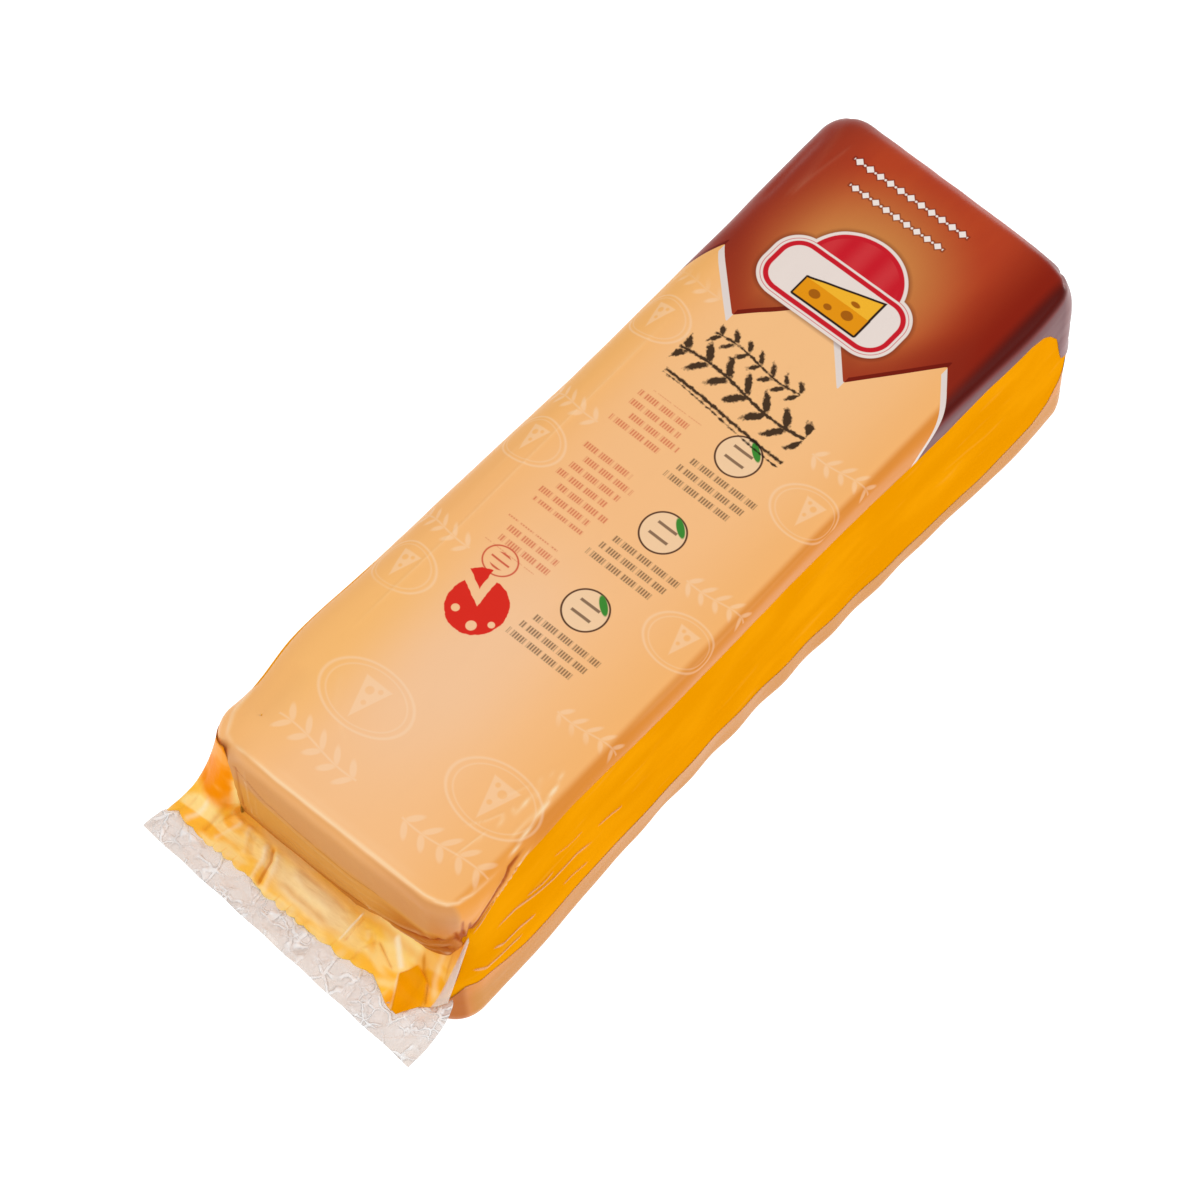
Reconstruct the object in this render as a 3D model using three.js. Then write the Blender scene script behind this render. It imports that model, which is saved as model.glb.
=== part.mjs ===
// A long cheddar loaf, vacuum-shrunk in a printed film bag.
// Millimetres, +Z up. The origin is the centre of the loaf's flat base.
// +X runs along the loaf from the sealed end of the bag to the tucked end,
// and +Y points to the loaf's left when it is seen from the sealed end.
import * as THREE from 'three';

// The loaf in its tight film.
const LOAF_LENGTH = 297;
const LOAF_WIDTH = 100;
const LOAF_HEIGHT = 81;
const CORNER_RADIUS = 12;
const TOP_EDGE_RADIUS = 13;
const BASE_EDGE_RADIUS = 9;
// What is left of a corner's radius at the inner rim of a rounded edge.
const LEAST_CORNER_RADIUS = 3;

// The loaf is slimmer half way along and fuller near its ends.
const WAIST_DEPTH = { left: 1.5, right: 1.3 };
const WAIST_CENTRE = { left: 30, right: 15 };
const WAIST_SPREAD = 50;
const SEALED_BULGE = 1.6;
const SEALED_BULGE_CENTRE = { left: -105, right: -120 };
const SEALED_BULGE_SPREAD = 28;
const TUCKED_BULGE = { left: -0.6, right: 1.8 };
const TUCKED_BULGE_CENTRE = { left: 90, right: 117 };
const TUCKED_BULGE_SPREAD = 26;
const RIPPLE_HEIGHT = 0.4;
const RIPPLE_PITCH = 23;
const RIPPLE_HALF_LENGTH = 70;

// Two top corners are rounder than the others, so they are pulled to the middle.
// One base corner is fuller than the others, so its pull is the other way.
const PULLED_CORNERS = [
  { x: -LOAF_LENGTH / 2, y: LOAF_WIDTH / 2, z: LOAF_HEIGHT, pull: 2.6, reach: 20 },
  { x: LOAF_LENGTH / 2, y: -LOAF_WIDTH / 2, z: LOAF_HEIGHT, pull: 1.2, reach: 16 },
  { x: -LOAF_LENGTH / 2, y: -LOAF_WIDTH / 2, z: 0, pull: -1.5, reach: 15 },
];

// The sealed end: the film runs down to a crease and leaves there as the bag's tail.
const CREASE_HEIGHT = 36;
const CREASE_LOWEST_AT = 15;
const CREASE_CURVE = 0.003;
const CREASE_END_RISE = 18;
const CREASE_END_POWER = 12;
const CREASE_DEPTH = 1.6;
const CREASE_SPREAD = 5;
// Each upright corner at the sealed end is drawn in where the bag's side is pleated.
const PLEAT_DEPTH = 5;
const PLEAT_TOP_REACH = 28;
const PLEAT_FADE = 7;
const PLEAT_LOWEST = 22;
const PLEAT_FULL_TO = 0.35;

// The tucked end is a little domed and skewed, with the bag's factory seam across it.
const TUCKED_SKEW = 1.7;
const DOME_DEPTH = 1.2;
const SEAM_HEIGHT = 40;
const SEAM_RELIEF = 1.3;
const SEAM_SPREAD = 3;

// The bag's tail: a crumpled skirt, and past it the clear heat-sealed strip.
const FILM_GAP = 0.5;
const TAIL_HEIGHT = 38;
const TAIL_ROOT_HEIGHT = 35;
const SKIRT_ROOT_HALF_WIDTH = 45;
const ROOT_CLEARANCE_STEPS = 4;
const SKIRT_TIP = { left: 53, right: 55.5 };
const SKIRT_REACH = { left: 12.5, right: 15.5 };
const CLEAR_CORNER_REACH = 7;
const CLEAR_CORNER_SHARE = 0.06;
const SKIRT_ROOT_HALF_THICKNESS = 1.2;
const SKIRT_TIP_HALF_THICKNESS = 0.6;
const WEB_HEIGHT = { left: 30, right: 20 };
const WEB_DROP = 12;
const WEB_POWER = 7;
const CRUMPLE_PITCH = 9;
const CRUMPLE_HEIGHT = 0.6;
const STRIP_TIP = { left: 54.5, right: 57 };
const STRIP_REACH = { left: 22, right: 27.5 };
const STRIP_HALF_THICKNESS = 0.35;
const STRIP_WAVE_HEIGHT = 0.5;
const STRIP_WAVE_PITCH = 17;

// Facets: columns round the loaf, rows up it, and the grids of the tail.
const LONG_SIDE_COLUMNS = 30;
const SHORT_SIDE_COLUMNS = 14;
const CORNER_COLUMNS = 6;
const BASE_EDGE_ROWS = 3;
const WALL_ROWS = 14;
const TOP_EDGE_ROWS = 4;
const SKIRT_COLUMNS = 50;
const SKIRT_ROWS = 6;
const STRIP_COLUMNS = 50;
const STRIP_ROWS = 4;

// The look of each piece.
const PRINTED_FILM = { color: 0xf3b264, roughness: 0.35, metalness: 0 };
const YELLOW_FILM = { color: 0xf2bc3c, roughness: 0.4, metalness: 0 };
const CLEAR_FILM = { color: 0xd5ccc8, roughness: 0.25, metalness: 0 };

const HALF_LENGTH = LOAF_LENGTH / 2;
const HALF_WIDTH = LOAF_WIDTH / 2;
const RIGHT_ANGLE = Math.PI / 2;
const { lerp, smoothstep } = THREE.MathUtils;

// A bell-shaped bump of height 1 round a centre.
function bell(value, centre, spread) {
  return Math.exp(-(((value - centre) / spread) ** 2));
}

// How far a long side stands out of its plane, at a place along the loaf.
function sideSwell(x, side) {
  const waist = -WAIST_DEPTH[side] * bell(x, WAIST_CENTRE[side], WAIST_SPREAD);
  const sealed = SEALED_BULGE * bell(x, SEALED_BULGE_CENTRE[side], SEALED_BULGE_SPREAD);
  const tucked = TUCKED_BULGE[side] * bell(x, TUCKED_BULGE_CENTRE[side], TUCKED_BULGE_SPREAD);
  return waist + sealed + tucked;
}

// The long low ripples near the base of both long sides.
function baseRipple(x, z) {
  const along = bell(x, 0, RIPPLE_HALF_LENGTH) * Math.sin((2 * Math.PI * x) / RIPPLE_PITCH);
  return RIPPLE_HEIGHT * along * (1 - smoothstep(z, 0, LOAF_HEIGHT / 2));
}

// The height of the crease at the sealed end, which turns up at both corners.
function creaseHeight(y) {
  const curve = CREASE_CURVE * (y - CREASE_LOWEST_AT) ** 2;
  return CREASE_HEIGHT + curve + CREASE_END_RISE * (y / HALF_WIDTH) ** CREASE_END_POWER;
}

// How deep the film is drawn in at the pleat of an upright corner, from 0 to 1.
function pleatShare(x, z) {
  const fromEnd = x + HALF_LENGTH;
  const rise = Math.max(z - TAIL_HEIGHT, 0) / (LOAF_HEIGHT - TAIL_HEIGHT);
  const line = PLEAT_TOP_REACH * rise;
  const ahead = smoothstep(line - fromEnd, -PLEAT_FADE / 2, PLEAT_FADE);
  const high = 1 - smoothstep(rise, PLEAT_FULL_TO, 1);
  const low = smoothstep(z, PLEAT_LOWEST, TAIL_HEIGHT);
  return ahead * high * low;
}

// Pulls what is near an uneven corner towards the middle of the loaf, or away from it.
function pullCorners(point, shaped) {
  PULLED_CORNERS.forEach(({ x, y, z, pull, reach }) => {
    const corner = new THREE.Vector3(x, y, z);
    const amount = pull * bell(point.distanceTo(corner), 0, reach);
    shaped.x -= Math.sign(x) * amount;
    shaped.y -= Math.sign(y) * amount;
  });
}

// Turns a point of the plain rounded block into a point of the film-wrapped loaf.
function shapeLoaf(point) {
  const { x, y, z } = point;
  const side = y > 0 ? 'left' : 'right';
  const outward = Math.min(Math.abs(y) / HALF_WIDTH, 1) * Math.sign(y);
  const shaped = point.clone();
  shaped.y += outward * (sideSwell(x, side) + baseRipple(x, z));
  shaped.y -= outward * PLEAT_DEPTH * pleatShare(x, z);
  const sealedFace = smoothstep(-x, HALF_LENGTH - CORNER_RADIUS, HALF_LENGTH);
  shaped.x += sealedFace * CREASE_DEPTH * bell(z, creaseHeight(y), CREASE_SPREAD);
  const tuckedFace = smoothstep(x, HALF_LENGTH - CORNER_RADIUS, HALF_LENGTH);
  const dome = Math.cos((RIGHT_ANGLE * y) / HALF_WIDTH) * Math.sin((Math.PI * z) / LOAF_HEIGHT);
  shaped.x += tuckedFace * (DOME_DEPTH * dome - DOME_DEPTH);
  shaped.x += tuckedFace * SEAM_RELIEF * bell(z, SEAM_HEIGHT, SEAM_SPREAD);
  shaped.x += tuckedFace * TUCKED_SKEW * (y / HALF_WIDTH) * (z / LOAF_HEIGHT) ** 2;
  pullCorners(point, shaped);
  return shaped;
}

// Corner number q of the plan, anticlockwise from the sealed end's right corner.
function cornerSigns(q) {
  const number = q % 4;
  return { x: number === 1 || number === 2 ? 1 : -1, y: number >= 2 ? 1 : -1 };
}

// A point of side q of the plan, which takes in half of the corner at each end.
function sidePoint(q, step, columns, inset) {
  const half = CORNER_COLUMNS / 2;
  const radius = lerp(CORNER_RADIUS, LEAST_CORNER_RADIUS, Math.min(inset / TOP_EDGE_RADIUS, 1));
  const centre = (signs) => ({
    x: signs.x * (HALF_LENGTH - inset - radius),
    y: signs.y * (HALF_WIDTH - inset - radius),
  });
  const start = centre(cornerSigns(q));
  const end = centre(cornerSigns(q + 1));
  const along = THREE.MathUtils.clamp((step - half) / (columns - 2 * half), 0, 1);
  const intoStart = Math.max(half - step, 0) / half;
  const intoEnd = Math.max(step - (columns - half), 0) / half;
  const angle = (q - 1) * RIGHT_ANGLE + ((intoEnd - intoStart) * RIGHT_ANGLE) / 2;
  return {
    x: lerp(start.x, end.x, along) + radius * Math.cos(angle),
    y: lerp(start.y, end.y, along) + radius * Math.sin(angle),
  };
}

const SIDE_COLUMNS = [0, 1, 2, 3].map(
  (q) => (q % 2 === 0 ? LONG_SIDE_COLUMNS : SHORT_SIDE_COLUMNS) + CORNER_COLUMNS,
);

// The closed outline of the loaf at one height, before it is shaped.
function ring(inset, z) {
  const points = [];
  SIDE_COLUMNS.forEach((columns, q) => {
    for (let step = 0; step < columns; step += 1) {
      const { x, y } = sidePoint(q, step, columns, inset);
      points.push(new THREE.Vector3(x, y, z));
    }
  });
  return points;
}

// The rings from the base's flat rim, up the wall, to the top's flat rim.
function loafRings() {
  const rings = [];
  for (let row = 0; row <= BASE_EDGE_ROWS; row += 1) {
    const angle = (RIGHT_ANGLE * row) / BASE_EDGE_ROWS;
    const inset = BASE_EDGE_RADIUS * (1 - Math.sin(angle));
    rings.push(ring(inset, BASE_EDGE_RADIUS * (1 - Math.cos(angle))));
  }
  for (let row = 1; row < WALL_ROWS; row += 1) {
    rings.push(ring(0, lerp(BASE_EDGE_RADIUS, LOAF_HEIGHT - TOP_EDGE_RADIUS, row / WALL_ROWS)));
  }
  for (let row = 0; row <= TOP_EDGE_ROWS; row += 1) {
    const angle = (RIGHT_ANGLE * row) / TOP_EDGE_ROWS;
    const inset = TOP_EDGE_RADIUS * (1 - Math.cos(angle));
    rings.push(ring(inset, LOAF_HEIGHT - TOP_EDGE_RADIUS * (1 - Math.sin(angle))));
  }
  return rings;
}

// A point inside the top's rim, blended from the four sides of the rim.
function insideRim(rim, column, row) {
  const [long, short] = SIDE_COLUMNS;
  const u = column / long;
  const v = row / short;
  const at = (index) => rim[index % rim.length];
  const right = at(column);
  const far = at(long + row);
  const left = at(2 * long + short - column);
  const near = at(2 * (long + short) - row);
  const corner = [at(0), at(long), at(long + short), at(2 * long + short)];
  return new THREE.Vector3()
    .addScaledVector(right, 1 - v)
    .addScaledVector(left, v)
    .addScaledVector(near, 1 - u)
    .addScaledVector(far, u)
    .addScaledVector(corner[0], -(1 - u) * (1 - v))
    .addScaledVector(corner[1], -u * (1 - v))
    .addScaledVector(corner[2], -u * v)
    .addScaledVector(corner[3], -(1 - u) * v);
}

// Collects points and facets, and gives them back as one geometry.
class Facets {
  constructor() {
    this.points = [];
    this.index = [];
  }

  add(point) {
    this.points.push(point.x, point.y, point.z);
    return this.points.length / 3 - 1;
  }

  quad(a, b, c, d) {
    this.index.push(a, b, c, a, c, d);
  }

  geometry() {
    const geometry = new THREE.BufferGeometry();
    geometry.setAttribute('position', new THREE.Float32BufferAttribute(this.points, 3));
    geometry.setIndex(this.index);
    geometry.computeVertexNormals();
    return geometry;
  }
}

// The walls between two neighbouring rings of vertex numbers.
function joinRings(facets, lower, upper) {
  lower.forEach((from, i) => {
    const next = (i + 1) % lower.length;
    facets.quad(from, lower[next], upper[next], upper[i]);
  });
}

// The flat base, cut into facets from its outline alone.
function closeBase(facets, rim, numbers) {
  const outline = rim.map((point) => new THREE.Vector2(point.x, point.y));
  THREE.ShapeUtils.triangulateShape(outline, []).forEach(([a, b, c]) => {
    facets.index.push(numbers[c], numbers[b], numbers[a]);
  });
}

// The top, as a grid whose border is the last ring.
function closeTop(facets, rim, numbers) {
  const [long, short] = SIDE_COLUMNS;
  const border = (column, row) => {
    if (row === 0) return column;
    if (column === long) return long + row;
    if (row === short) return 2 * long + short - column;
    return (2 * (long + short) - row) % numbers.length;
  };
  const grid = [];
  for (let row = 0; row <= short; row += 1) {
    grid.push([]);
    for (let column = 0; column <= long; column += 1) {
      const inside = row > 0 && row < short && column > 0 && column < long;
      const number = inside
        ? facets.add(shapeLoaf(insideRim(rim, column, row)))
        : numbers[border(column, row)];
      grid[row].push(number);
    }
  }
  for (let row = 0; row < short; row += 1) {
    for (let column = 0; column < long; column += 1) {
      const [low, high] = [grid[row], grid[row + 1]];
      facets.quad(low[column], low[column + 1], high[column + 1], high[column]);
    }
  }
}

function loafGeometry() {
  const facets = new Facets();
  const rings = loafRings();
  const shaped = rings.map((points) => points.map(shapeLoaf));
  const numbers = shaped.map((points) => points.map((point) => facets.add(point)));
  for (let row = 1; row < numbers.length; row += 1) {
    joinRings(facets, numbers[row - 1], numbers[row]);
  }
  closeBase(facets, shaped[0], numbers[0]);
  closeTop(facets, rings.at(-1), numbers.at(-1));
  return facets.geometry();
}

// The x of the loaf's sealed end face at a place across it and up it.
function sealedFaceX(y, z) {
  const past = Math.max(Math.abs(y) - (HALF_WIDTH - CORNER_RADIUS), 0);
  const arc = CORNER_RADIUS - Math.sqrt(CORNER_RADIUS ** 2 - past ** 2);
  return shapeLoaf(new THREE.Vector3(-HALF_LENGTH + arc, y, z)).x;
}

// The x that clears the end face at every height that the skirt's root covers.
function clearOfFace(y, above, below) {
  let outermost = Infinity;
  for (let step = 0; step <= ROOT_CLEARANCE_STEPS; step += 1) {
    const height = lerp(-below, above, step / ROOT_CLEARANCE_STEPS);
    outermost = Math.min(outermost, sealedFaceX(y, TAIL_ROOT_HEIGHT + height));
  }
  return outermost - FILM_GAP;
}

// A closed sheet with an upper and a lower face, both cut into facets alike.
// face(across, along, up) gives a point: across and along run from 0 to 1,
// and up is 1 on the upper face and -1 on the lower one.
function sheetGeometry(face, columns, rows) {
  const facets = new Facets();
  const layer = (up) => {
    const grid = [];
    for (let row = 0; row <= rows; row += 1) {
      grid.push([]);
      for (let column = 0; column <= columns; column += 1) {
        grid[row].push(facets.add(face(column / columns, row / rows, up)));
      }
    }
    return grid;
  };
  const upper = layer(1);
  const lower = layer(-1);
  for (let row = 0; row < rows; row += 1) {
    for (let column = 0; column < columns; column += 1) {
      const [top, nextTop] = [upper[row], upper[row + 1]];
      const [base, nextBase] = [lower[row], lower[row + 1]];
      facets.quad(top[column], nextTop[column], nextTop[column + 1], top[column + 1]);
      facets.quad(base[column], base[column + 1], nextBase[column + 1], nextBase[column]);
    }
    facets.quad(upper[row][0], lower[row][0], lower[row + 1][0], upper[row + 1][0]);
    const end = columns;
    facets.quad(lower[row][end], upper[row][end], upper[row + 1][end], lower[row + 1][end]);
  }
  for (let column = 0; column < columns; column += 1) {
    const [top, base] = [upper[0], lower[0]];
    facets.quad(top[column], top[column + 1], base[column + 1], base[column]);
    const [lastTop, lastBase] = [upper[rows], lower[rows]];
    facets.quad(lastBase[column], lastBase[column + 1], lastTop[column + 1], lastTop[column]);
  }
  return facets.geometry();
}

// The crumples along the tail, which grow towards the seal.
function crumple(y, share) {
  const wave = Math.sin((2 * Math.PI * y) / CRUMPLE_PITCH + 2 * Math.sin(y / CRUMPLE_PITCH));
  return CRUMPLE_HEIGHT * wave * share;
}

// The y of the tail's left edge at 0 across and of its right edge at 1.
function tailY(tip, across) {
  return lerp(tip.left, -tip.right, across);
}

// The x where the skirt ends. At the far right the clear film comes further in.
function skirtEndX(across) {
  const clearCorner = smoothstep(across, 1 - CLEAR_CORNER_SHARE, 1);
  const reach = lerp(SKIRT_REACH.left, SKIRT_REACH.right, across);
  return -HALF_LENGTH - reach + CLEAR_CORNER_REACH * clearCorner;
}

// How far the skirt's root stands above and below its own middle height.
function rootReach(across) {
  const edge = Math.abs(1 - 2 * across) ** WEB_POWER;
  const height = across < 1 / 2 ? WEB_HEIGHT.left : WEB_HEIGHT.right;
  return {
    above: SKIRT_ROOT_HALF_THICKNESS + height * edge,
    below: SKIRT_ROOT_HALF_THICKNESS + WEB_DROP * edge,
  };
}

// The skirt leaves the loaf along the crease, with a web standing at each side.
function skirtFace(across, along, up) {
  const rootY = (1 - 2 * across) * SKIRT_ROOT_HALF_WIDTH;
  const y = lerp(rootY, tailY(SKIRT_TIP, across), along);
  const { above, below } = rootReach(across);
  const rise = lerp(up > 0 ? above : below, SKIRT_TIP_HALF_THICKNESS, Math.sqrt(along));
  const middle = lerp(TAIL_ROOT_HEIGHT, TAIL_HEIGHT, along);
  const x = lerp(clearOfFace(rootY, above, below), skirtEndX(across), along);
  return new THREE.Vector3(x, y, middle + up * rise + crumple(y, along));
}

// The strip is one flat weld of both films, gently waved, with a straight outer edge.
function stripFace(across, along, up) {
  const y = lerp(tailY(SKIRT_TIP, across), tailY(STRIP_TIP, across), Math.sqrt(along));
  const reach = lerp(STRIP_REACH.left, STRIP_REACH.right, across);
  const x = lerp(skirtEndX(across) - FILM_GAP, -HALF_LENGTH - reach, along);
  const wave = STRIP_WAVE_HEIGHT * Math.sin((2 * Math.PI * y) / STRIP_WAVE_PITCH) * along;
  const z = TAIL_HEIGHT + up * STRIP_HALF_THICKNESS + crumple(y, 1 - along) + wave;
  return new THREE.Vector3(x, y, z);
}

function addPiece(group, name, geometry, look) {
  const mesh = new THREE.Mesh(geometry, new THREE.MeshStandardMaterial(look));
  mesh.name = name;
  group.add(mesh);
}

const cheddarPack = new THREE.Group();
const skirt = sheetGeometry(skirtFace, SKIRT_COLUMNS, SKIRT_ROWS);
const strip = sheetGeometry(stripFace, STRIP_COLUMNS, STRIP_ROWS);
addPiece(cheddarPack, 'wrapped_loaf', loafGeometry(), PRINTED_FILM);
addPiece(cheddarPack, 'bag_skirt', skirt, YELLOW_FILM);
addPiece(cheddarPack, 'seal_strip', strip, CLEAR_FILM);

export default cheddarPack;
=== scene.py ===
import functools
import math

import bpy
import numpy as np
from mathutils import Matrix, Vector, noise


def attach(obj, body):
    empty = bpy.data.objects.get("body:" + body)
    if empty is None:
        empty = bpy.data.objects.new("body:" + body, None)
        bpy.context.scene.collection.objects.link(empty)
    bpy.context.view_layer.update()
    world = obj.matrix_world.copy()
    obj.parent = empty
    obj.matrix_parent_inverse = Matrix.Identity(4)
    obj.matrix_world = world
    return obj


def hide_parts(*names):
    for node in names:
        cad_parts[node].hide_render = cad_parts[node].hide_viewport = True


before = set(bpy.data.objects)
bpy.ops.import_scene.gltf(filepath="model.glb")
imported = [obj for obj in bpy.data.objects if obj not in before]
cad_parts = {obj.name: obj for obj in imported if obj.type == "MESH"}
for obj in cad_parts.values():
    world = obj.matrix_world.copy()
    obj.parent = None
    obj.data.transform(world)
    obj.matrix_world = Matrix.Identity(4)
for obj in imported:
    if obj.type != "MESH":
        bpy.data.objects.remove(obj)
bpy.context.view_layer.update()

MM = 0.001
RIGHT_ANGLE = math.pi / 2

# The loaf as in the solids, whose pleats are deeper.
LOAF_LENGTH = 297
LOAF_WIDTH = 100
LOAF_HEIGHT = 81
HALF_LENGTH = LOAF_LENGTH / 2
HALF_WIDTH = LOAF_WIDTH / 2
CORNER_RADIUS = 12
TOP_EDGE_RADIUS = 13
BASE_EDGE_RADIUS = 9
LEAST_CORNER_RADIUS = 3
WAIST = {"left": (-1.5, 30, 50), "right": (-1.3, 15, 50)}
SEALED_BULGE = {"left": (1.6, -105, 28), "right": (1.6, -120, 28)}
TUCKED_BULGE = {"left": (-0.6, 90, 26), "right": (1.8, 117, 26)}
RIPPLE_HEIGHT = 0.4
RIPPLE_PITCH = 23
RIPPLE_HALF_LENGTH = 70
PULLED_CORNERS = [
    # corner, pull towards the middle, reach
    ((-HALF_LENGTH, HALF_WIDTH, LOAF_HEIGHT), 0.3, 20),
    ((HALF_LENGTH, -HALF_WIDTH, LOAF_HEIGHT), 1.2, 16),
    ((-HALF_LENGTH, -HALF_WIDTH, 0), -1.5, 15),
]
CREASE_HEIGHT = 36
CREASE_LOWEST_AT = 15
CREASE_CURVE = 0.003
CREASE_END_RISE = 18
CREASE_END_POWER = 12
CREASE_DEPTH = 1.6
CREASE_SPREAD = 5
PLEAT_DEPTH = 1.5
PLEAT_TOP_REACH = 28
PLEAT_FADE = 7
PLEAT_LOWEST = 22
PLEAT_FULL_TO = 0.35
TUCKED_SKEW = 1.7
DOME_DEPTH = 1.2
SEAM_HEIGHT = 40
SEAM_RELIEF = 1.3
SEAM_SPREAD = 3

# The bag's tail, as in the solids.
TAIL_HEIGHT = 38
TAIL_ROOT_HEIGHT = 35
SKIRT_TIP = (53, -52.4)
SKIRT_ROOT_HALF_THICKNESS = 1.2
# How far the skirt's root climbs the loaf's end: y from right to left, and the rise.
WEB_Y = [-49.3, -48.5, -46.3, -43, -38, -30, -20, -16, -10, 23, 35, 35.8, 37, 38.5, 39.8, 49]
WEB_RISE = [21, 17, 12.5, 10.5, 9, 8.5, 6, 3, 0, 0, 1.5, 6, 22, 34, 40, 32]
WEB_DROP = 12
WEB_DROP_POWER = 7
CRUMPLE_PITCH = 9
CRUMPLE_HEIGHT = 0.6
STRIP_TIP = (54.5, -57)
STRIP_REACH = (22, 27.5)
STRIP_HALF_THICKNESS = 0.35
STRIP_WAVE_HEIGHT = 0.5
STRIP_WAVE_PITCH = 17

# How finely the film is cut into facets.
LONG_COLUMNS = 220
LONG_CROWDING = 0.45
SHORT_COLUMNS = 96
CORNER_COLUMNS = 18
BASE_EDGE_ROWS = 8
WALL_ROWS = 80
TOP_EDGE_ROWS = 22
EDGE_CROWDING = 0.4
FOLD_TAPER = 0.18


# Plain functions of numbers

def bell(value, centre, spread):
    """A bell-shaped bump of height 1 round a centre."""
    return np.exp(-(((value - centre) / spread) ** 2))


def smooth(value, low, high):
    """Rises smoothly from 0 at low to 1 at high."""
    share = np.clip((value - low) / (high - low), 0, 1)
    return share * share * (3 - 2 * share)


def mix(start, end, share):
    return start + (end - start) * share


def wave(value, pitch):
    return np.sin(2 * np.pi * value / pitch)


def noise_at(points, scale):
    """Smooth noise from -1 to 1 at each point, with lumps of about the scale's size."""
    return np.array([noise.noise(Vector(point)) for point in points / scale])


def path_bump(across, along, path, width):
    """A long bump of height 1 that follows a path and fades at its ends."""
    corners = [np.array(corner, float) for corner in path]
    nearest = np.full(across.shape, np.inf)
    place = np.zeros(across.shape)
    done = 0
    for start, end in zip(corners, corners[1:]):
        length = np.linalg.norm(end - start)
        step = (end - start) / length
        run = np.clip((across - start[0]) * step[0] + (along - start[1]) * step[1], 0, length)
        distance = np.hypot(across - start[0] - run * step[0], along - start[1] - run * step[1])
        closer = distance < nearest
        nearest = np.where(closer, distance, nearest)
        place = np.where(closer, done + run, place)
        done += length
    share = place / done
    fade = smooth(share, 0, FOLD_TAPER) * smooth(1 - share, 0, FOLD_TAPER)
    return fade * bell(nearest, 0, width)


def folds_at(across, along, folds):
    """The height, and the tone of painted shade and highlight, that a list of folds adds at each place."""
    height = np.zeros(across.shape)
    tone = np.zeros(across.shape)
    for path, fold_height, width, fold_tone in folds:
        bump = path_bump(across, along, path, width)
        height += fold_height * bump
        tone += fold_tone * bump
    return height, tone


# The form of the loaf

def side_swell(x, side):
    """How far a long side stands out of its plane."""
    parts = (WAIST[side], SEALED_BULGE[side], TUCKED_BULGE[side])
    return sum(height * bell(x, centre, spread) for height, centre, spread in parts)


def base_ripple(x, z):
    along = bell(x, 0, RIPPLE_HALF_LENGTH) * wave(x, RIPPLE_PITCH)
    return RIPPLE_HEIGHT * along * (1 - smooth(z, 0, LOAF_HEIGHT / 2))


def crease_height(y):
    """The height of the crease at the sealed end, which turns up at both corners."""
    curve = CREASE_CURVE * (y - CREASE_LOWEST_AT) ** 2
    return CREASE_HEIGHT + curve + CREASE_END_RISE * (y / HALF_WIDTH) ** CREASE_END_POWER


def pleat_share(x, z):
    """How deep the film is drawn in at the pleat of an upright corner, from 0 to 1."""
    rise = np.maximum(z - TAIL_HEIGHT, 0) / (LOAF_HEIGHT - TAIL_HEIGHT)
    line = PLEAT_TOP_REACH * rise
    ahead = smooth(line - (x + HALF_LENGTH), -PLEAT_FADE / 2, PLEAT_FADE)
    return ahead * (1 - smooth(rise, PLEAT_FULL_TO, 1)) * smooth(z, PLEAT_LOWEST, TAIL_HEIGHT)


def shape_loaf(block):
    """Turns points of the plain rounded block into points of the film-wrapped loaf."""
    x, y, z = block.T
    shaped = block.copy()
    outward = np.clip(y / HALF_WIDTH, -1, 1)
    swell = np.where(y > 0, side_swell(x, "left"), side_swell(x, "right"))
    shaped[:, 1] += outward * (swell + base_ripple(x, z) - PLEAT_DEPTH * pleat_share(x, z))
    sealed_face = smooth(-x, HALF_LENGTH - CORNER_RADIUS, HALF_LENGTH)
    shaped[:, 0] += sealed_face * CREASE_DEPTH * bell(z, crease_height(y), CREASE_SPREAD)
    tucked_face = smooth(x, HALF_LENGTH - CORNER_RADIUS, HALF_LENGTH)
    dome = np.cos(RIGHT_ANGLE * y / HALF_WIDTH) * np.sin(np.pi * z / LOAF_HEIGHT)
    skew = TUCKED_SKEW * (y / HALF_WIDTH) * (z / LOAF_HEIGHT) ** 2
    seam = SEAM_RELIEF * bell(z, SEAM_HEIGHT, SEAM_SPREAD)
    shaped[:, 0] += tucked_face * (DOME_DEPTH * (dome - 1) + seam + skew)
    for corner, pull, reach in PULLED_CORNERS:
        amount = pull * bell(np.linalg.norm(block - corner, axis=1), 0, reach)
        shaped[:, 0] -= math.copysign(1, corner[0]) * amount
        shaped[:, 1] -= math.copysign(1, corner[1]) * amount
    return shaped


# The fine grid of the loaf

def crowded(share):
    """Moves evenly spaced shares closer together near 0."""
    return share * mix(LONG_CROWDING, 1, share)


def side_walk(columns, spacing):
    """How far along one side of the plan, and how far round its corners, each column is."""
    corner = np.linspace(-1, 0, CORNER_COLUMNS, endpoint=False)
    straight = spacing(np.linspace(0, 1, columns, endpoint=False))
    along = np.concatenate([np.zeros(CORNER_COLUMNS), straight, np.ones(CORNER_COLUMNS)])
    turn = np.concatenate([corner, np.zeros(columns), corner + 1])
    return along, turn


SIDE_WALKS = [
    side_walk(LONG_COLUMNS, crowded),
    side_walk(SHORT_COLUMNS, lambda share: share),
    side_walk(LONG_COLUMNS, lambda share: 1 - crowded(1 - share)),
    side_walk(SHORT_COLUMNS, lambda share: share),
]
LONG = len(SIDE_WALKS[0][0])
SHORT = len(SIDE_WALKS[1][0])
ROUND = 2 * (LONG + SHORT)


def corner_centre(q, inset, radius):
    """The centre of corner q of the plan, anticlockwise from the sealed end's right corner."""
    x_sign = 1 if q % 4 in (1, 2) else -1
    y_sign = 1 if q % 4 in (2, 3) else -1
    return x_sign * (HALF_LENGTH - inset - radius), y_sign * (HALF_WIDTH - inset - radius)


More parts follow.
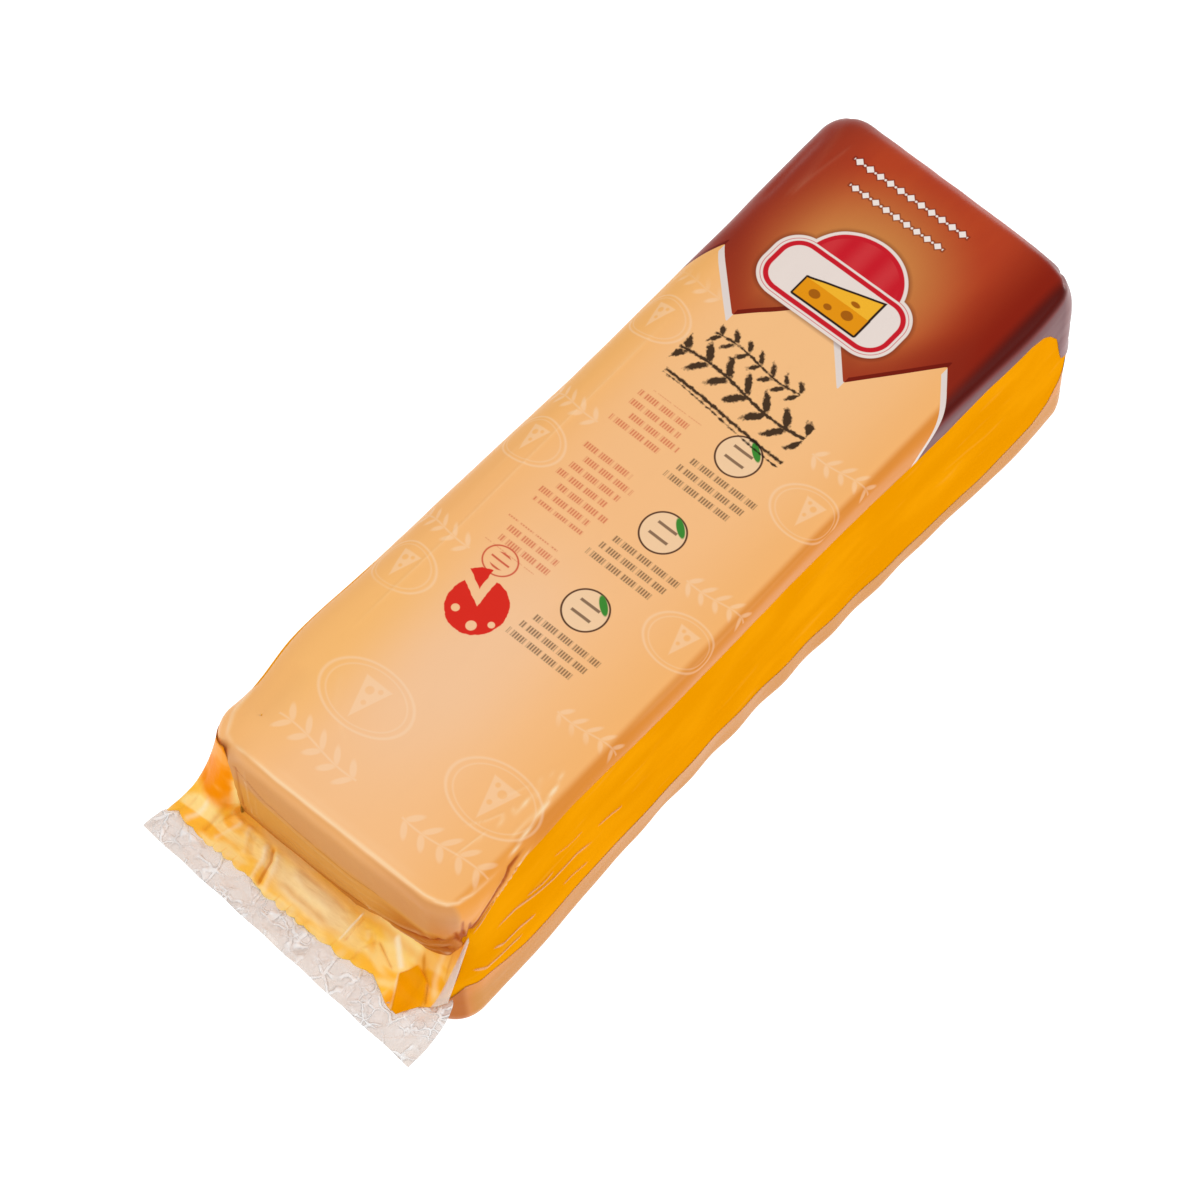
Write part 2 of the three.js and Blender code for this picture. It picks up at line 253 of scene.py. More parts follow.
def ring(inset, z):
    """The closed outline of the loaf at one height, before it is shaped."""
    radius = mix(CORNER_RADIUS, LEAST_CORNER_RADIUS, min(inset / TOP_EDGE_RADIUS, 1))
    sides = []
    for q, (along, turn) in enumerate(SIDE_WALKS):
        start = corner_centre(q, inset, radius)
        end = corner_centre(q + 1, inset, radius)
        angle = (q - 1) * RIGHT_ANGLE + turn * RIGHT_ANGLE / 2
        x = mix(start[0], end[0], along) + radius * np.cos(angle)
        y = mix(start[1], end[1], along) + radius * np.sin(angle)
        sides.append(np.stack([x, y, np.full_like(x, z)], axis=1))
    return np.concatenate(sides)


def edge_angles():
    """Angles up the top edge, closest together half-way, where the edge is sharpest."""
    spread = np.linspace(-1, 1, TOP_EDGE_ROWS + 1)
    return RIGHT_ANGLE / 2 * (1 + spread * mix(EDGE_CROWDING, 1, np.abs(spread)))


def loaf_rings():
    """The rings from the base's flat rim, up the wall, to the top's flat rim."""
    rings = []
    for angle in np.linspace(0, RIGHT_ANGLE, BASE_EDGE_ROWS + 1):
        inset = BASE_EDGE_RADIUS * (1 - math.sin(angle))
        rings.append(ring(inset, BASE_EDGE_RADIUS * (1 - math.cos(angle))))
    shoulder = LOAF_HEIGHT - TOP_EDGE_RADIUS
    for z in np.linspace(BASE_EDGE_RADIUS, shoulder, WALL_ROWS + 1)[1:-1]:
        rings.append(ring(0, z))
    for angle in edge_angles():
        inset = TOP_EDGE_RADIUS * (1 - math.cos(angle))
        rings.append(ring(inset, shoulder + TOP_EDGE_RADIUS * math.sin(angle)))
    return rings


def top_patch(rim):
    """The top inside its rim, blended from the four sides of the rim."""
    column = np.arange(LONG + 1)
    row = np.arange(SHORT + 1)
    right = rim[column][None]
    far = rim[LONG + row][:, None]
    left = rim[2 * LONG + SHORT - column][None]
    near = rim[(ROUND - row) % ROUND][:, None]
    u = (column / LONG)[None, :, None]
    v = (row / SHORT)[:, None, None]
    corners = (1 - u) * (1 - v) * rim[0] + u * (1 - v) * rim[LONG]
    corners = corners + u * v * rim[LONG + SHORT] + (1 - u) * v * rim[2 * LONG + SHORT]
    return (1 - v) * right + v * left + (1 - u) * near + u * far - corners


def grid_faces(numbers):
    """The four-sided faces between the rows and columns of a grid of vertex numbers."""
    rows, columns = numbers[:-1], numbers[1:]
    quads = np.stack([rows[:, :-1], rows[:, 1:], columns[:, 1:], columns[:, :-1]], axis=-1)
    return quads.reshape(-1, 4)


def loaf_grid():
    """The block's points, its four-sided faces and the outline of its flat base."""
    rings = loaf_rings()
    patch = top_patch(rings[-1])
    wall = np.arange(len(rings) * ROUND).reshape(len(rings), ROUND)
    closed_wall = np.concatenate([wall, wall[:, :1]], axis=1)
    rim = wall[-1]
    inner = np.arange((SHORT - 1) * (LONG - 1)).reshape(SHORT - 1, LONG - 1) + wall.size
    top = np.zeros((SHORT + 1, LONG + 1), int)
    top[1:-1, 1:-1] = inner
    top[0] = rim[: LONG + 1]
    top[:, LONG] = rim[LONG : LONG + SHORT + 1]
    top[SHORT] = rim[LONG + SHORT : 2 * LONG + SHORT + 1][::-1]
    top[:, 0] = rim[(ROUND - np.arange(SHORT + 1)) % ROUND]
    points = np.concatenate([*rings, patch[1:-1, 1:-1].reshape(-1, 3)])
    quads = np.concatenate([grid_faces(closed_wall), grid_faces(top)])
    return points, quads, wall[0][::-1]


def vertex_normals(points, quads):
    a, b, c, d = (points[quads[:, corner]] for corner in range(4))
    faces = np.cross(c - a, d - b)
    normals = np.zeros_like(points)
    for corner in range(4):
        np.add.at(normals, quads[:, corner], faces)
    return normals / np.linalg.norm(normals, axis=1)[:, None]


# The film's folds and wrinkles: a path, a height, a width, and a tone from -1, painted shade, to 1, painted
# highlight.
# On the top a path's places are (from the sealed end, y).
TOP_FOLDS = [
    ([(60, -42), (47, -45.5), (38, -46.8), (29, -48.4), (24, -48.9)], 0.4, 0.5, 0.8),
    ([(54, -44.5), (44, -45), (34, -45), (27, -46)], 0.2, 0.4, 0.4),
    ([(56, -41), (40, -41), (26, -38), (13, -36)], 0.2, 0.5, 0.4),
    ([(51, -43), (40, -40), (31, -36), (24, -31)], 0.2, 0.5, 0.35),
    ([(60, -42), (48, -38), (36, -33)], 0.15, 0.6, 0.25),
    ([(42, 30), (30, 22), (22, 10)], 0.12, 1.2, 0.12),
    ([(4, 41), (2.2, 36), (1.6, 20), (1.8, 0), (2, -18), (2.1, -32), (2.4, -38), (3.1, -42), (4.4, -45),
      (6.8, -47), (11, -48.2), (20, -49), (28, -48.6)], 0.12, 0.6, 0.6),
    ([(4, 30), (4, 0), (4.4, -30), (6, -41)], 0, 1.6, 0.16),
    ([(2, 30), (2, 37), (4, 41), (10, 44), (22, 46)], 0.4, 0.9, 0.45),
    ([(12, 37), (24, 38), (36, 39)], -0.5, 4, -0.12),
    ([(45, 36), (100, 35), (155, 35.5), (205, 36)], 0.22, 0.6, 0.22),
    ([(62, 41), (110, 40), (150, 41)], 0.15, 0.6, 0.15),
    ([(290, 42), (274, 39), (252, 37)], 0.3, 1.6, 0.08),
    ([(284, 34), (268, 36), (250, 38)], 0.2, 0.8, 0.1),
    ([(282, 45), (262, 44), (246, 43)], -0.3, 1.6, -0.1),
    ([(70, -47.5), (120, -48), (190, -48)], 0.15, 0.8, 0.2),
]
# On the sealed end they are (y, z).
SEALED_END_FOLDS = [
    ([(42, 72), (38, 69), (31, 66), (24, 61), (14, 59.5), (4, 58), (-10, 57.5), (-20, 60), (-30, 61)],
     -0.4, 0.4, -0.6),
    ([(38, 67.6), (31, 64.6), (24, 59.6), (14, 58.1), (4, 56.6), (-10, 56.1), (-20, 58.6)], 0.3, 0.5, 0.3),
    ([(31, 75), (31, 58), (30, 46), (27, 39)], 0.3, 0.4, 0.3),
    ([(28, 60), (28, 50), (25, 40)], 0.25, 0.4, 0.25),
    ([(35, 72), (34.5, 60), (34, 48), (33, 39)], -0.4, 0.5, -0.7),
    ([(30, 38.5), (20, 38), (6, 37.5), (-9, 38.5), (-16, 40)], -0.4, 0.7, -0.7),
    ([(-8, 39), (-18, 42.5), (-23.6, 45.2), (-30, 49), (-37, 54.5), (-43.5, 57.5), (-46.5, 57),
      (-48.5, 54.5)], -0.7, 0.7, -1.1),
    ([(-12, 44), (-22, 47.5), (-29, 51.5), (-36, 56.5), (-43, 59.5)], 0.4, 0.8, 0.25),
    ([(-22, 43.2), (-30, 46.3), (-37, 50.3), (-43, 53), (-48, 53.5)], 0.5, 0.8, 0.35),
    ([(-26, 43.6), (-32, 45.6), (-39, 48.2), (-45, 50.5), (-48.5, 52.5)], -0.4, 0.5, -0.7),
    ([(-32, 44.4), (-38, 46.6), (-44, 48.4), (-47.5, 50.5)], 0.4, 0.5, 0.35),
    ([(22, 52), (0, 50), (-18, 53), (-32, 58)], 0.2, 0.9, 0.15),
    ([(24, 47), (4, 45), (-12, 47)], -0.2, 1.0, -0.12),
    ([(-7, 48), (-12, 43)], 0.25, 0.4, 0.3),
    ([(-2, 47), (-7, 42)], 0.25, 0.4, 0.3),
    ([(-12, 50), (-18, 45)], 0.25, 0.4, 0.3),
]
# On the right side they are (from the sealed end, z).
SIDE_FOLDS = [
    ([(36, 80.6), (30, 80.2), (25, 79.4), (20.4, 77), (16.3, 73), (12, 66), (9.3, 62.4), (7, 57), (6.4, 52)],
     -0.7, 0.55, -1.3),
    ([(26, 80), (18, 75.6), (10.4, 66), (6.9, 60), (5.6, 54)], 0, 1.6, -0.8),
    ([(36, 79.4), (28, 78), (22, 74.8), (17.6, 71), (13.2, 64.6), (10.3, 60.6), (8.4, 56)], 0.5, 0.4, 0.8),
    ([(33, 77.8), (27, 76), (22, 73)], -0.3, 0.4, -0.7),
    ([(26, 80), (18, 77.4), (12, 71), (8, 64)], 0.3, 0.7, 0.2),
    ([(7, 53), (6.9, 60), (6.5, 66), (6.2, 73)], -0.3, 0.4, -0.9),
    ([(6.4, 54), (5.4, 60), (4.4, 65)], -0.3, 0.4, -0.8),
    ([(7.7, 55), (7.8, 61), (7.6, 67)], 0.3, 0.35, 0.35),
    ([(8.6, 58), (8.6, 64), (8.4, 69)], -0.3, 0.35, -0.7),
    ([(64, 39), (54, 44), (43, 45), (35, 48), (26, 52), (20, 52), (15, 50)], 0.3, 0.55, 1.1),
    ([(44, 50), (38, 50), (30, 53)], 0.25, 0.5, 0.9),
    ([(36, 34), (27, 37), (20, 37), (15, 41)], 0.25, 0.55, 1.1),
    ([(30, 30), (24, 31), (13, 31.5), (7, 38)], 0.3, 0.55, 1.1),
    ([(60, 30), (52, 33), (46, 34)], 0.25, 0.5, 0.8),
    ([(76, 42), (70, 45), (63, 47)], 0.25, 0.5, 0.9),
    ([(58, 55), (50, 56), (42, 60)], 0.2, 0.5, 0.6),
    ([(80, 45), (120, 42), (160, 44)], 0.15, 1.5, 0.1),
    ([(90, 36), (140, 34), (200, 36)], 0.15, 1.2, 0.1),
]
# How boxy the top edge is at the sealed end and down the right side: 2 would be a quarter round.
EDGE_POWER = 6.5
BOXY_UP_TO_Y = (28, 44)
BOXY_FROM_TUCKED_END = (4, 16)
# The film is drawn in under the right side's base edge.
BASE_TUCK = 1.2
BASE_TUCK_X = (-45, 45)
BASE_TUCK_FROM_Y = (30, 40)
BASE_TUCK_Z = (8, 26)
# The left top edge is drawn in a little behind the sealed end's corner.
LEFT_DRAW = 2
LEFT_DRAW_X = (-126, 13)
LEFT_DRAW_FROM_Y = (30, 44)
LEFT_DRAW_FROM_Z = (45, 75)
# Creases spread from where the film is pinched at both upright corners of the sealed end.
PINCH_Y = 46
PINCH_Z = 54
PINCH_FULL_AT = 4
PINCH_REACH = 13
PINCH_RAYS = 9
PINCH_SWAY = (2, 3)
PINCH_HEIGHT = 0.25
PINCH_TONE = 0.15
# The film is a little slack between its folds.
SLACK_HEIGHT = 0.16
SLACK_SIZE = (26, 9, 9)
SLACK_DETAIL = 0.5
SLACK_DETAIL_SIZE = 0.45
OTHER_PLACE = 7
TUCK_FOLD_DEPTH = 0.9
TUCK_FOLD_TONE = 0.5
FOLD_FACING = (0.35, 0.75)
TUCK_FOLD_START = 12
TUCK_FOLD_FULL = 20
TUCK_FOLD_SLOPE = 1.1
TUCK_FOLD_WIDTH = 1.4


def pinch_fan(y, z, y_sign):
    """Short creases that spread from where the film is pinched at an upright corner."""
    dy = y - y_sign * PINCH_Y
    dz = z - PINCH_Z
    distance = np.hypot(dy, dz)
    sway, sway_size = PINCH_SWAY
    rays = np.sin(PINCH_RAYS * np.arctan2(dz, -dy * y_sign) + sway * np.sin(distance / sway_size))
    fade = 1 - smooth(distance, PINCH_FULL_AT, PINCH_REACH)
    return rays * smooth(distance, 0, PINCH_FULL_AT) * fade


def tucked_folds(y, z):
    """The folded corners of the tucked end: slanting tucks from the seam to each corner."""
    fold = np.abs(z - SEAM_HEIGHT) - (np.abs(y) - TUCK_FOLD_START) * TUCK_FOLD_SLOPE
    reach = smooth(np.abs(y), TUCK_FOLD_START, TUCK_FOLD_FULL)
    return bell(fold, 0, TUCK_FOLD_WIDTH) * reach


def boxy_edge(block):
    """How far the top edge stands out of its quarter round, except on the left and the tucked end."""
    x, y, z = block.T
    rise = np.clip((z - LOAF_HEIGHT) / TOP_EDGE_RADIUS + 1, 0, 1)
    level = np.sqrt(1 - rise**2)
    fullness = TOP_EDGE_RADIUS * ((rise**EDGE_POWER + level**EDGE_POWER) ** (-1 / EDGE_POWER) - 1)
    return fullness * (1 - smooth(y, *BOXY_UP_TO_Y)) * smooth(HALF_LENGTH - x, *BOXY_FROM_TUCKED_END)


def base_tuck(block):
    """How far the right side's base edge is drawn in."""
    x, y, z = block.T
    return BASE_TUCK * bell(x, *BASE_TUCK_X) * smooth(-y, *BASE_TUCK_FROM_Y) * (1 - smooth(z, *BASE_TUCK_Z))


def left_draw(block):
    """How far the left top edge is drawn in behind the sealed end's corner."""
    x, y, z = block.T
    upper = smooth(y, *LEFT_DRAW_FROM_Y) * smooth(z, *LEFT_DRAW_FROM_Z)
    return LEFT_DRAW * bell(x, *LEFT_DRAW_X) * upper


def film_relief(points, normals):
    """The film's folds and slackness as heights over the drawn loaf, and the tones of painted shade and
    highlight along them.
    """
    x, y, z = points.T
    from_end = x + HALF_LENGTH
    on_top = smooth(normals[:, 2], *FOLD_FACING)
    on_sealed = smooth(-normals[:, 0], *FOLD_FACING)
    on_tucked = smooth(normals[:, 0], *FOLD_FACING)
    on_right = smooth(-normals[:, 1], *FOLD_FACING)
    lumps = points / SLACK_SIZE
    detail = noise_at(lumps + OTHER_PLACE, SLACK_DETAIL_SIZE)
    slack = noise_at(lumps, 1) + SLACK_DETAIL * detail
    height = SLACK_HEIGHT * slack * smooth(z, 0, BASE_EDGE_RADIUS)
    tone = np.zeros(x.shape)
    for share, across, along, folds in (
        (on_top, from_end, y, TOP_FOLDS),
        (on_sealed, y, z, SEALED_END_FOLDS),
        (on_right, from_end, z, SIDE_FOLDS),
    ):
        fold_height, fold_tone = folds_at(across, along, folds)
        height += share * fold_height
        tone += share * fold_tone
    fans = on_sealed * (pinch_fan(y, z, -1) + pinch_fan(y, z, 1))
    tucks = on_tucked * tucked_folds(y, z)
    height += PINCH_HEIGHT * fans - TUCK_FOLD_DEPTH * tucks
    tone += PINCH_TONE * fans - TUCK_FOLD_TONE * tucks
    return height, np.clip(tone, -1, 1)


# Meshes and materials

def add_mesh(name, points, faces, materials, which=None, tones=None):
    """A smooth mesh piece from points in millimetres, each face wearing one of the materials."""
    mesh = bpy.data.meshes.new(name)
    mesh.from_pydata((points * MM).tolist(), [], [list(map(int, face)) for face in faces])
    mesh.shade_smooth()
    for material in materials:
        mesh.materials.append(material)
    if which is not None:
        mesh.polygons.foreach_set("material_index", which)
    for attribute, values in (tones or {}).items():
        layer = mesh.attributes.new(attribute, "FLOAT", "POINT")
        layer.data.foreach_set("value", values)
    piece = bpy.data.objects.new(name, mesh)
    bpy.context.scene.collection.objects.link(piece)
    return piece


def linear(code):
    """A colour such as F9BD7F as linear red, green, blue and alpha."""
    channels = [int(code[start : start + 2], 16) / 255 for start in (0, 2, 4)]
    curved = [c / 12.92 if c <= 0.04045 else ((c + 0.055) / 1.055) ** 2.4 for c in channels]
    return (*curved, 1)


class Field:
    """A value that varies over the surface. Sums, products and the like make new nodes."""

    def __init__(self, tree, socket):
        self.tree = tree
        self.socket = socket

    def math(self, operation, *others):
        node = self.tree.nodes.new("ShaderNodeMath")
        node.operation = operation
        for place, value in enumerate((self, *others)):
            plug(value, node.inputs[place])
        return Field(self.tree, node.outputs[0])

    def __neg__(self):
        return self * -1

    def step(self, low, high):
        """Rises smoothly from 0 at low to 1 at high."""
        node = self.tree.nodes.new("ShaderNodeMapRange")
        node.interpolation_type = "SMOOTHSTEP"
        plug_all(node, {"Value": self, "From Min": low, "From Max": high})
        return Field(self.tree, node.outputs["Result"])

    def repeat(self, pitch):
        """The distance from the nearest multiple of the pitch."""
        return self - (self / pitch).math("ROUND") * pitch

    def line(self, corners):
        """The height of an open line at this field's own place. Its corners are (place, height)."""
        places, heights = zip(*corners)
        lowest, highest = min(heights), max(heights)
        node = self.tree.nodes.new("ShaderNodeFloatCurve")
        curve = node.mapping.curves[0]
        shares = [(place - places[0]) / (places[-1] - places[0]) for place in places]
        levels = [(height - lowest) / (highest - lowest) for height in heights]
        curve.points[0].location = (0, levels[0])
        curve.points[-1].location = (1, levels[-1])
        for share, level in zip(shares[1:-1], levels[1:-1]):
            curve.points.new(share, level)
        for point in curve.points:
            point.handle_type = "VECTOR"
        node.mapping.update()
        clipped = self.over(places[0]).under(places[-1])
        plug((clipped - places[0]) / (places[-1] - places[0]), node.inputs["Value"])
        return Field(self.tree, node.outputs[0]) * (highest - lowest) + lowest


# The sums and comparisons that a field knows, each by the name of its node's operation.
OPERATIONS = {
    "__add__": "ADD",
    "__sub__": "SUBTRACT",
    "__mul__": "MULTIPLY",
    "__truediv__": "DIVIDE",
    "__abs__": "ABSOLUTE",
    "over": "MAXIMUM",
    "under": "MINIMUM",
    "sine": "SINE",
}
for method, operation in OPERATIONS.items():
    setattr(Field, method, functools.partialmethod(Field.math, operation))


def plug(value, socket):
    """Links a field into a socket, or sets the socket to a number or to a colour such as F9BD7F."""
    if isinstance(value, Field):
        value.tree.links.new(value.socket, socket)
    elif isinstance(value, str):
        socket.default_value = linear(value)
    else:
        socket.default_value = value


def plug_all(node, values):
    for name, value in values.items():
        plug(value, node.inputs[name])


def add_node(tree, kind, values):
    """The first output of a new node with the given inputs."""
    node = tree.nodes.new(kind)
    plug_all(node, values)
    return Field(tree, node.outputs[0])


INK_EDGE = 0.25


def inside(distance, edge=INK_EDGE):
    """1 where a distance is below zero and 0 above, with a soft edge in millimetres."""
    return (distance / -edge + 0.5).over(0).under(1)


def nearest(distances):
    """The least of several distances, which joins their shapes."""
    return functools.reduce(Field.under, distances)


def oval(u, v, middle_u, middle_v, half_u, half_v):
    """The distance outside an oval, exact for a disc."""
    across = (u - middle_u) / half_u
    along = (v - middle_v) / half_v
    return ((across * across + along * along).math("SQRT") - 1) * min(half_u, half_v)


def disc(u, v, middle_u, middle_v, radius):
    return oval(u, v, middle_u, middle_v, radius, radius)


def rectangle(u, v, half_u, half_v, radius=0):
    """The distance outside a rectangle with rounded corners."""
    out_u = (abs(u) - (half_u - radius)).over(0)
    out_v = (abs(v) - (half_v - radius)).over(0)
    return (out_u * out_u + out_v * out_v).math("SQRT") - max(radius, INK_EDGE / 2)


def turned(u, v, degrees):
    """The two coordinates after a turn."""
    c, s = math.cos(math.radians(degrees)), math.sin(math.radians(degrees))
    return u * c + v * s, v * c - u * s


class Coat:
    """Colours laid one over another."""

    def __init__(self, ground):
        self.colour = ground

    def lay(self, ink, mask):
        """Lays an ink, or the colour of another coat, where the mask is 1."""
        node = mask.tree.nodes.new("ShaderNodeMix")
        node.data_type = "RGBA"
        factor, ground, over = node.inputs[0], node.inputs[6], node.inputs[7]
        for value, socket in ((mask, factor), (self.colour, ground), (ink, over)):
            plug(value, socket)
        self.colour = Field(mask.tree, node.outputs[2])


def new_material(name):
    material = bpy.data.materials.new(name)
    material.use_nodes = True
    tree = material.node_tree
    shader = tree.nodes["Principled BSDF"]
    return material, tree, shader


def show(tree, surface):
    """Makes a mixed shader the material's surface."""
    plug(surface, tree.nodes["Material Output"].inputs["Surface"])


def own_place(tree):
    """The surface's own place in metres."""
    return Field(tree, tree.nodes.new("ShaderNodeTexCoord").outputs["Object"])


def surface_places(tree):
    """The surface's own x, y and z in millimetres."""
    split = tree.nodes.new("ShaderNodeSeparateXYZ")
    plug(own_place(tree), split.inputs[0])
    return [Field(tree, output) / MM for output in split.outputs]


def mix_shaders(tree, share, first, second):
    """The first shader where the share is 0 and the second where it is 1."""
    return add_node(tree, "ShaderNodeMixShader", {0: share, 1: first, 2: second})


def noise_field(tree, size, detail=2, stretch=(1, 1, 1)):
    """Smooth noise from 0 to 1 with lumps of about the size, in millimetres."""
    scaled = tree.nodes.new("ShaderNodeVectorMath")
    scaled.operation = "MULTIPLY"
    plug(own_place(tree), scaled.inputs[0])
    plug([1 / (size * MM * part) for part in stretch], scaled.inputs[1])
    place = Field(tree, scaled.outputs[0])
    return add_node(tree, "ShaderNodeTexNoise", {"Vector": place, "Scale": 1, "Detail": detail})


def crackle_field(tree, size, warp, width):
    """1 along the borders of random cells that a warp makes uneven, and 0 inside them."""
    scale = 1 / (size * MM)
    bend = tree.nodes.new("ShaderNodeTexNoise")
    plug_all(bend, {"Vector": own_place(tree), "Scale": scale})
    offset = tree.nodes.new("ShaderNodeVectorMath")
    offset.operation = "MULTIPLY_ADD"
    plug_all(offset, {0: Field(tree, bend.outputs["Color"]), 1: [warp * MM] * 3, 2: own_place(tree)})
    texture = tree.nodes.new("ShaderNodeTexVoronoi")
    texture.feature = "DISTANCE_TO_EDGE"
    plug_all(texture, {"Vector": Field(tree, offset.outputs[0]), "Scale": scale})
    return Field(tree, texture.outputs["Distance"]).step(width, width * CRACK_CORE)


def mesh_field(tree, attribute):
    """A number that each point of the mesh carries."""
    node = tree.nodes.new("ShaderNodeAttribute")
    node.attribute_name = attribute
    return Field(tree, node.outputs["Fac"])


def add_bump(height, shader, depth):
    """Small relief from a field, with the depth in millimetres."""
    values = {"Strength": 1, "Distance": depth * MM, "Height": height}
    plug(add_node(height.tree, "ShaderNodeBump", values), shader.inputs["Normal"])


# The print. u runs from the sealed end along the loaf, and v round it from the middle of the top.

# The brown band's zigzag edge as (v, u).
ZIGZAG = [
    (-80, 190), (-61, 212), (-55, 218.7), (-44.3, 231.4), (-39.3, 238), (-19, 212.8), (0, 233), (22.2, 209.2),
    (42, 228), (50, 219), (60, 208), (80, 186),
]
ZIGZAG_PROBE = 0.5
BAND_LOWEST = 38
MAROON_WIDTH = 2.3
WHITE_WIDTH = 3
# The clear windows' edges as (u, z).
WINDOW_TOP = [
    (0, 16), (4, 32), (6.5, 55), (9, 61), (12, 64), (16, 70), (21, 74), (27, 78), (34, 79.5), (52, 78),
    (86, 74), (140, 71.5), (190, 70), (226, 69), (245, 72), (265, 73), (271, 71), (275, 67), (280, 59),
    (282, 50), (284, 43), (291, 38),
]
WINDOW_BASE = [
    (0, 16), (6, 27), (14, 26), (30, 21.5), (60, 21), (90, 20.5), (120, 22), (150, 19), (190, 17.5),
    (210, 16), (232, 15), (245, 15.5), (255, 17), (265, 18), (272, 18.5), (280, 21.5), (284.6, 26.5),
    (288, 31), (291, 38),
]
WINDOW_FROM_MIDDLE = 38
WINDOW_EDGE = 0.9

# Ovals of the print: the middle's u and v, and the half-axes. A disc has one radius.
NEAR_LEFT_PATCH = (50, 34, 50, 20)
PALE_PRINT_AND_SHEEN = (62, 4, 62, 26)
BROWN_GLOW = (245, 4, 40, 39)
STAMP = (98, 18, 5, 5.6)
WHEEL = (82, 13, 10, 9.5)
WHEEL_HOLES = [(76, 10, 1.7), (80, 5.5, 1.1), (77.5, 17.5, 1.3)]
SLICE_TIP = (85.5, 15.5)
SLICE_HALF = (9, 8.6)
SLICE_TURN = 35
# The faint marks: their rows, and each mark's half-axes, double line, wedge and sprig.
GHOST_INK = "FCDDBC"
GHOST_EDGE = 0.5
GHOST_PITCH = 58
GHOST_ROW_V = 40
GHOST_SHIFT = (8, 12)
SMALL_GHOST = {
    "half": (9, 12), "lines": (0.3, 1.3, 0.12), "cheese": (0, 5.2), "leaves": (-18, 12, 2.6, 0.25)
}
LARGE_GHOST = {
    "half": (11, 16), "lines": (0.35, 1.6, 0.15), "cheese": (1, 7), "leaves": (21, 16, 3.4, 0.3)
}
LARGE_GHOST_U = 38
LARGE_GHOST_V = (-8, 25)
# The badge: its middle, and its parts about that middle.
BADGE_U = 235
BADGE_V = 3
PLATE = (11.5, 25, 9)
SUN = (8, 0, 16, 17)
ICON_FRONT = (3.4, 12)
ICON_END = 11.3
ICON_HOLES = [(-3.4, 5, 1.6, 2), (-4.4, -1, 1.1, 1.4), (-3, -7.5, 1.7, 2.1), (1.8, -7, 0.9, 1.7)]
# Rows of diamonds: u, the middle's v, half the length and the diamonds' size.
DIAMOND_ROWS = [(278.5, 8, 22.5, 1.5), (270, 7, 18.5, 1.4)]
DIAMOND_PITCH = 4.1
# Brushed sprigs: u, v, half the length, the leaves' size and half the stem's width.
BRUSH_SPRIGS = [(201, 5, 17, 2.8, 0.42), (190, 2, 25, 4.3, 0.6)]
BRUSH_LINE = (180, 1, 24)
# The small print's strokes: their pitch and half width, and how the gaps and the ragged ends wave.
STROKE_PITCH = 0.95
STROKE_HALF_WIDTH = 0.27
STROKE_GAPS = (1.05, 2.6, 0.78)
RAGGED = (2.3, 2.2)
RED_ROWS_U = 137
RED_ROWS_V = 15
PARAGRAPH_PITCH = 36
MARKS_U = 137
MARKS_PITCH = 35
MARKS_V = -12
MARK_RADIUS = 7.2
# Shares of a wedge's size: its slope, and its holes' middles and radii.
WEDGE_SLOPE = 0.36
WEDGE_HOLES = [(0.5, 0.12, 0.2), (-0.1, -0.06, 0.12), (0.72, -0.3, 0.12)]
# Shares of a leaf's size: the stem's wave and sway, and how the leaves stand on it.
STEM_WAVE = 0.5
STEM_SWAY = 0.35
LEAF_OUT = 0.72
LEAF_PITCH = 1.9
LEAF_TURN = 38
LEAF_HALF = (0.9, 0.3)


def wedge(p, q, size):
    """The distance outside a wedge of cheese with three holes, pointing to -p."""
    side = (abs(q) - (p + size) * WEDGE_SLOPE).over(p - size)
    holes = nearest(disc(p, q, a * size, b * size, radius * size) for a, b, radius in WEDGE_HOLES)
    return side.over(-holes)


def sprig(u, v, half_length, leaf, stem):
    """The distance outside a leafy sprig that runs along v."""
    stem_u = u - (v * (STEM_WAVE / leaf)).sine() * (leaf * STEM_SWAY)
    run = abs(v) - half_length
    stalk = (abs(stem_u) - stem).over(run)
    leaf_u, leaf_v = turned(abs(stem_u) - leaf * LEAF_OUT, v.repeat(leaf * LEAF_PITCH), LEAF_TURN)
    leaves = oval(leaf_u, leaf_v, 0, 0, *(leaf * half for half in LEAF_HALF)).over(run)
    return stalk.under(leaves)


def peach_ground(u, v, z):
    """The print's ground: paler along the middle of the top, deeper towards the edges."""
    coat = Coat("F8BF86")
    coat.lay("F6B367", abs(v).step(16, 50) * 0.75)
    coat.lay("F8BC70", oval(u, v, *NEAR_LEFT_PATCH).step(6, -18) * 0.75)
    coat.lay("F8C286", u.step(130, 205) * abs(v).step(46, 12) * 0.6)
    # Partly print, partly painted reflection: a pale cloudy patch near the middle of the top stands in for
    # the soft light's sheen.
    cloud = noise_field(u.tree, 60) * 0.8 + 0.4
    coat.lay("F5C9A2", oval(u, v, *PALE_PRINT_AND_SHEEN).step(6, -22) * cloud * 0.8)
    coat.lay("F6B65C", v.step(26, 44) * u.step(110, 170) * 0.35)
    # Partly print, partly painted shade: the right side is painted deeper than the top.
    deep = (-v).step(45.2, 48.4)
    coat.lay("DE8C38", deep)
    coat.lay("F5A84F", deep * u.step(42, 26) * z.step(62, 72) * 0.7)
    return coat


def ghost(u, v, half, lines, cheese, leaves):
    """The distance outside a faint mark: a wedge of cheese in a double oval, and a sprig beside it."""
    rim = oval(u, v, 0, 0, *half)
    width, gap, inner_width = lines
    rings = (abs(rim) - width).under(abs(rim + gap) - inner_width)
    wedge_u, size = cheese
    sprig_u, *sprig_form = leaves
    return rings.under(wedge(u + wedge_u, v, size)).under(sprig(u + sprig_u, v, *sprig_form))


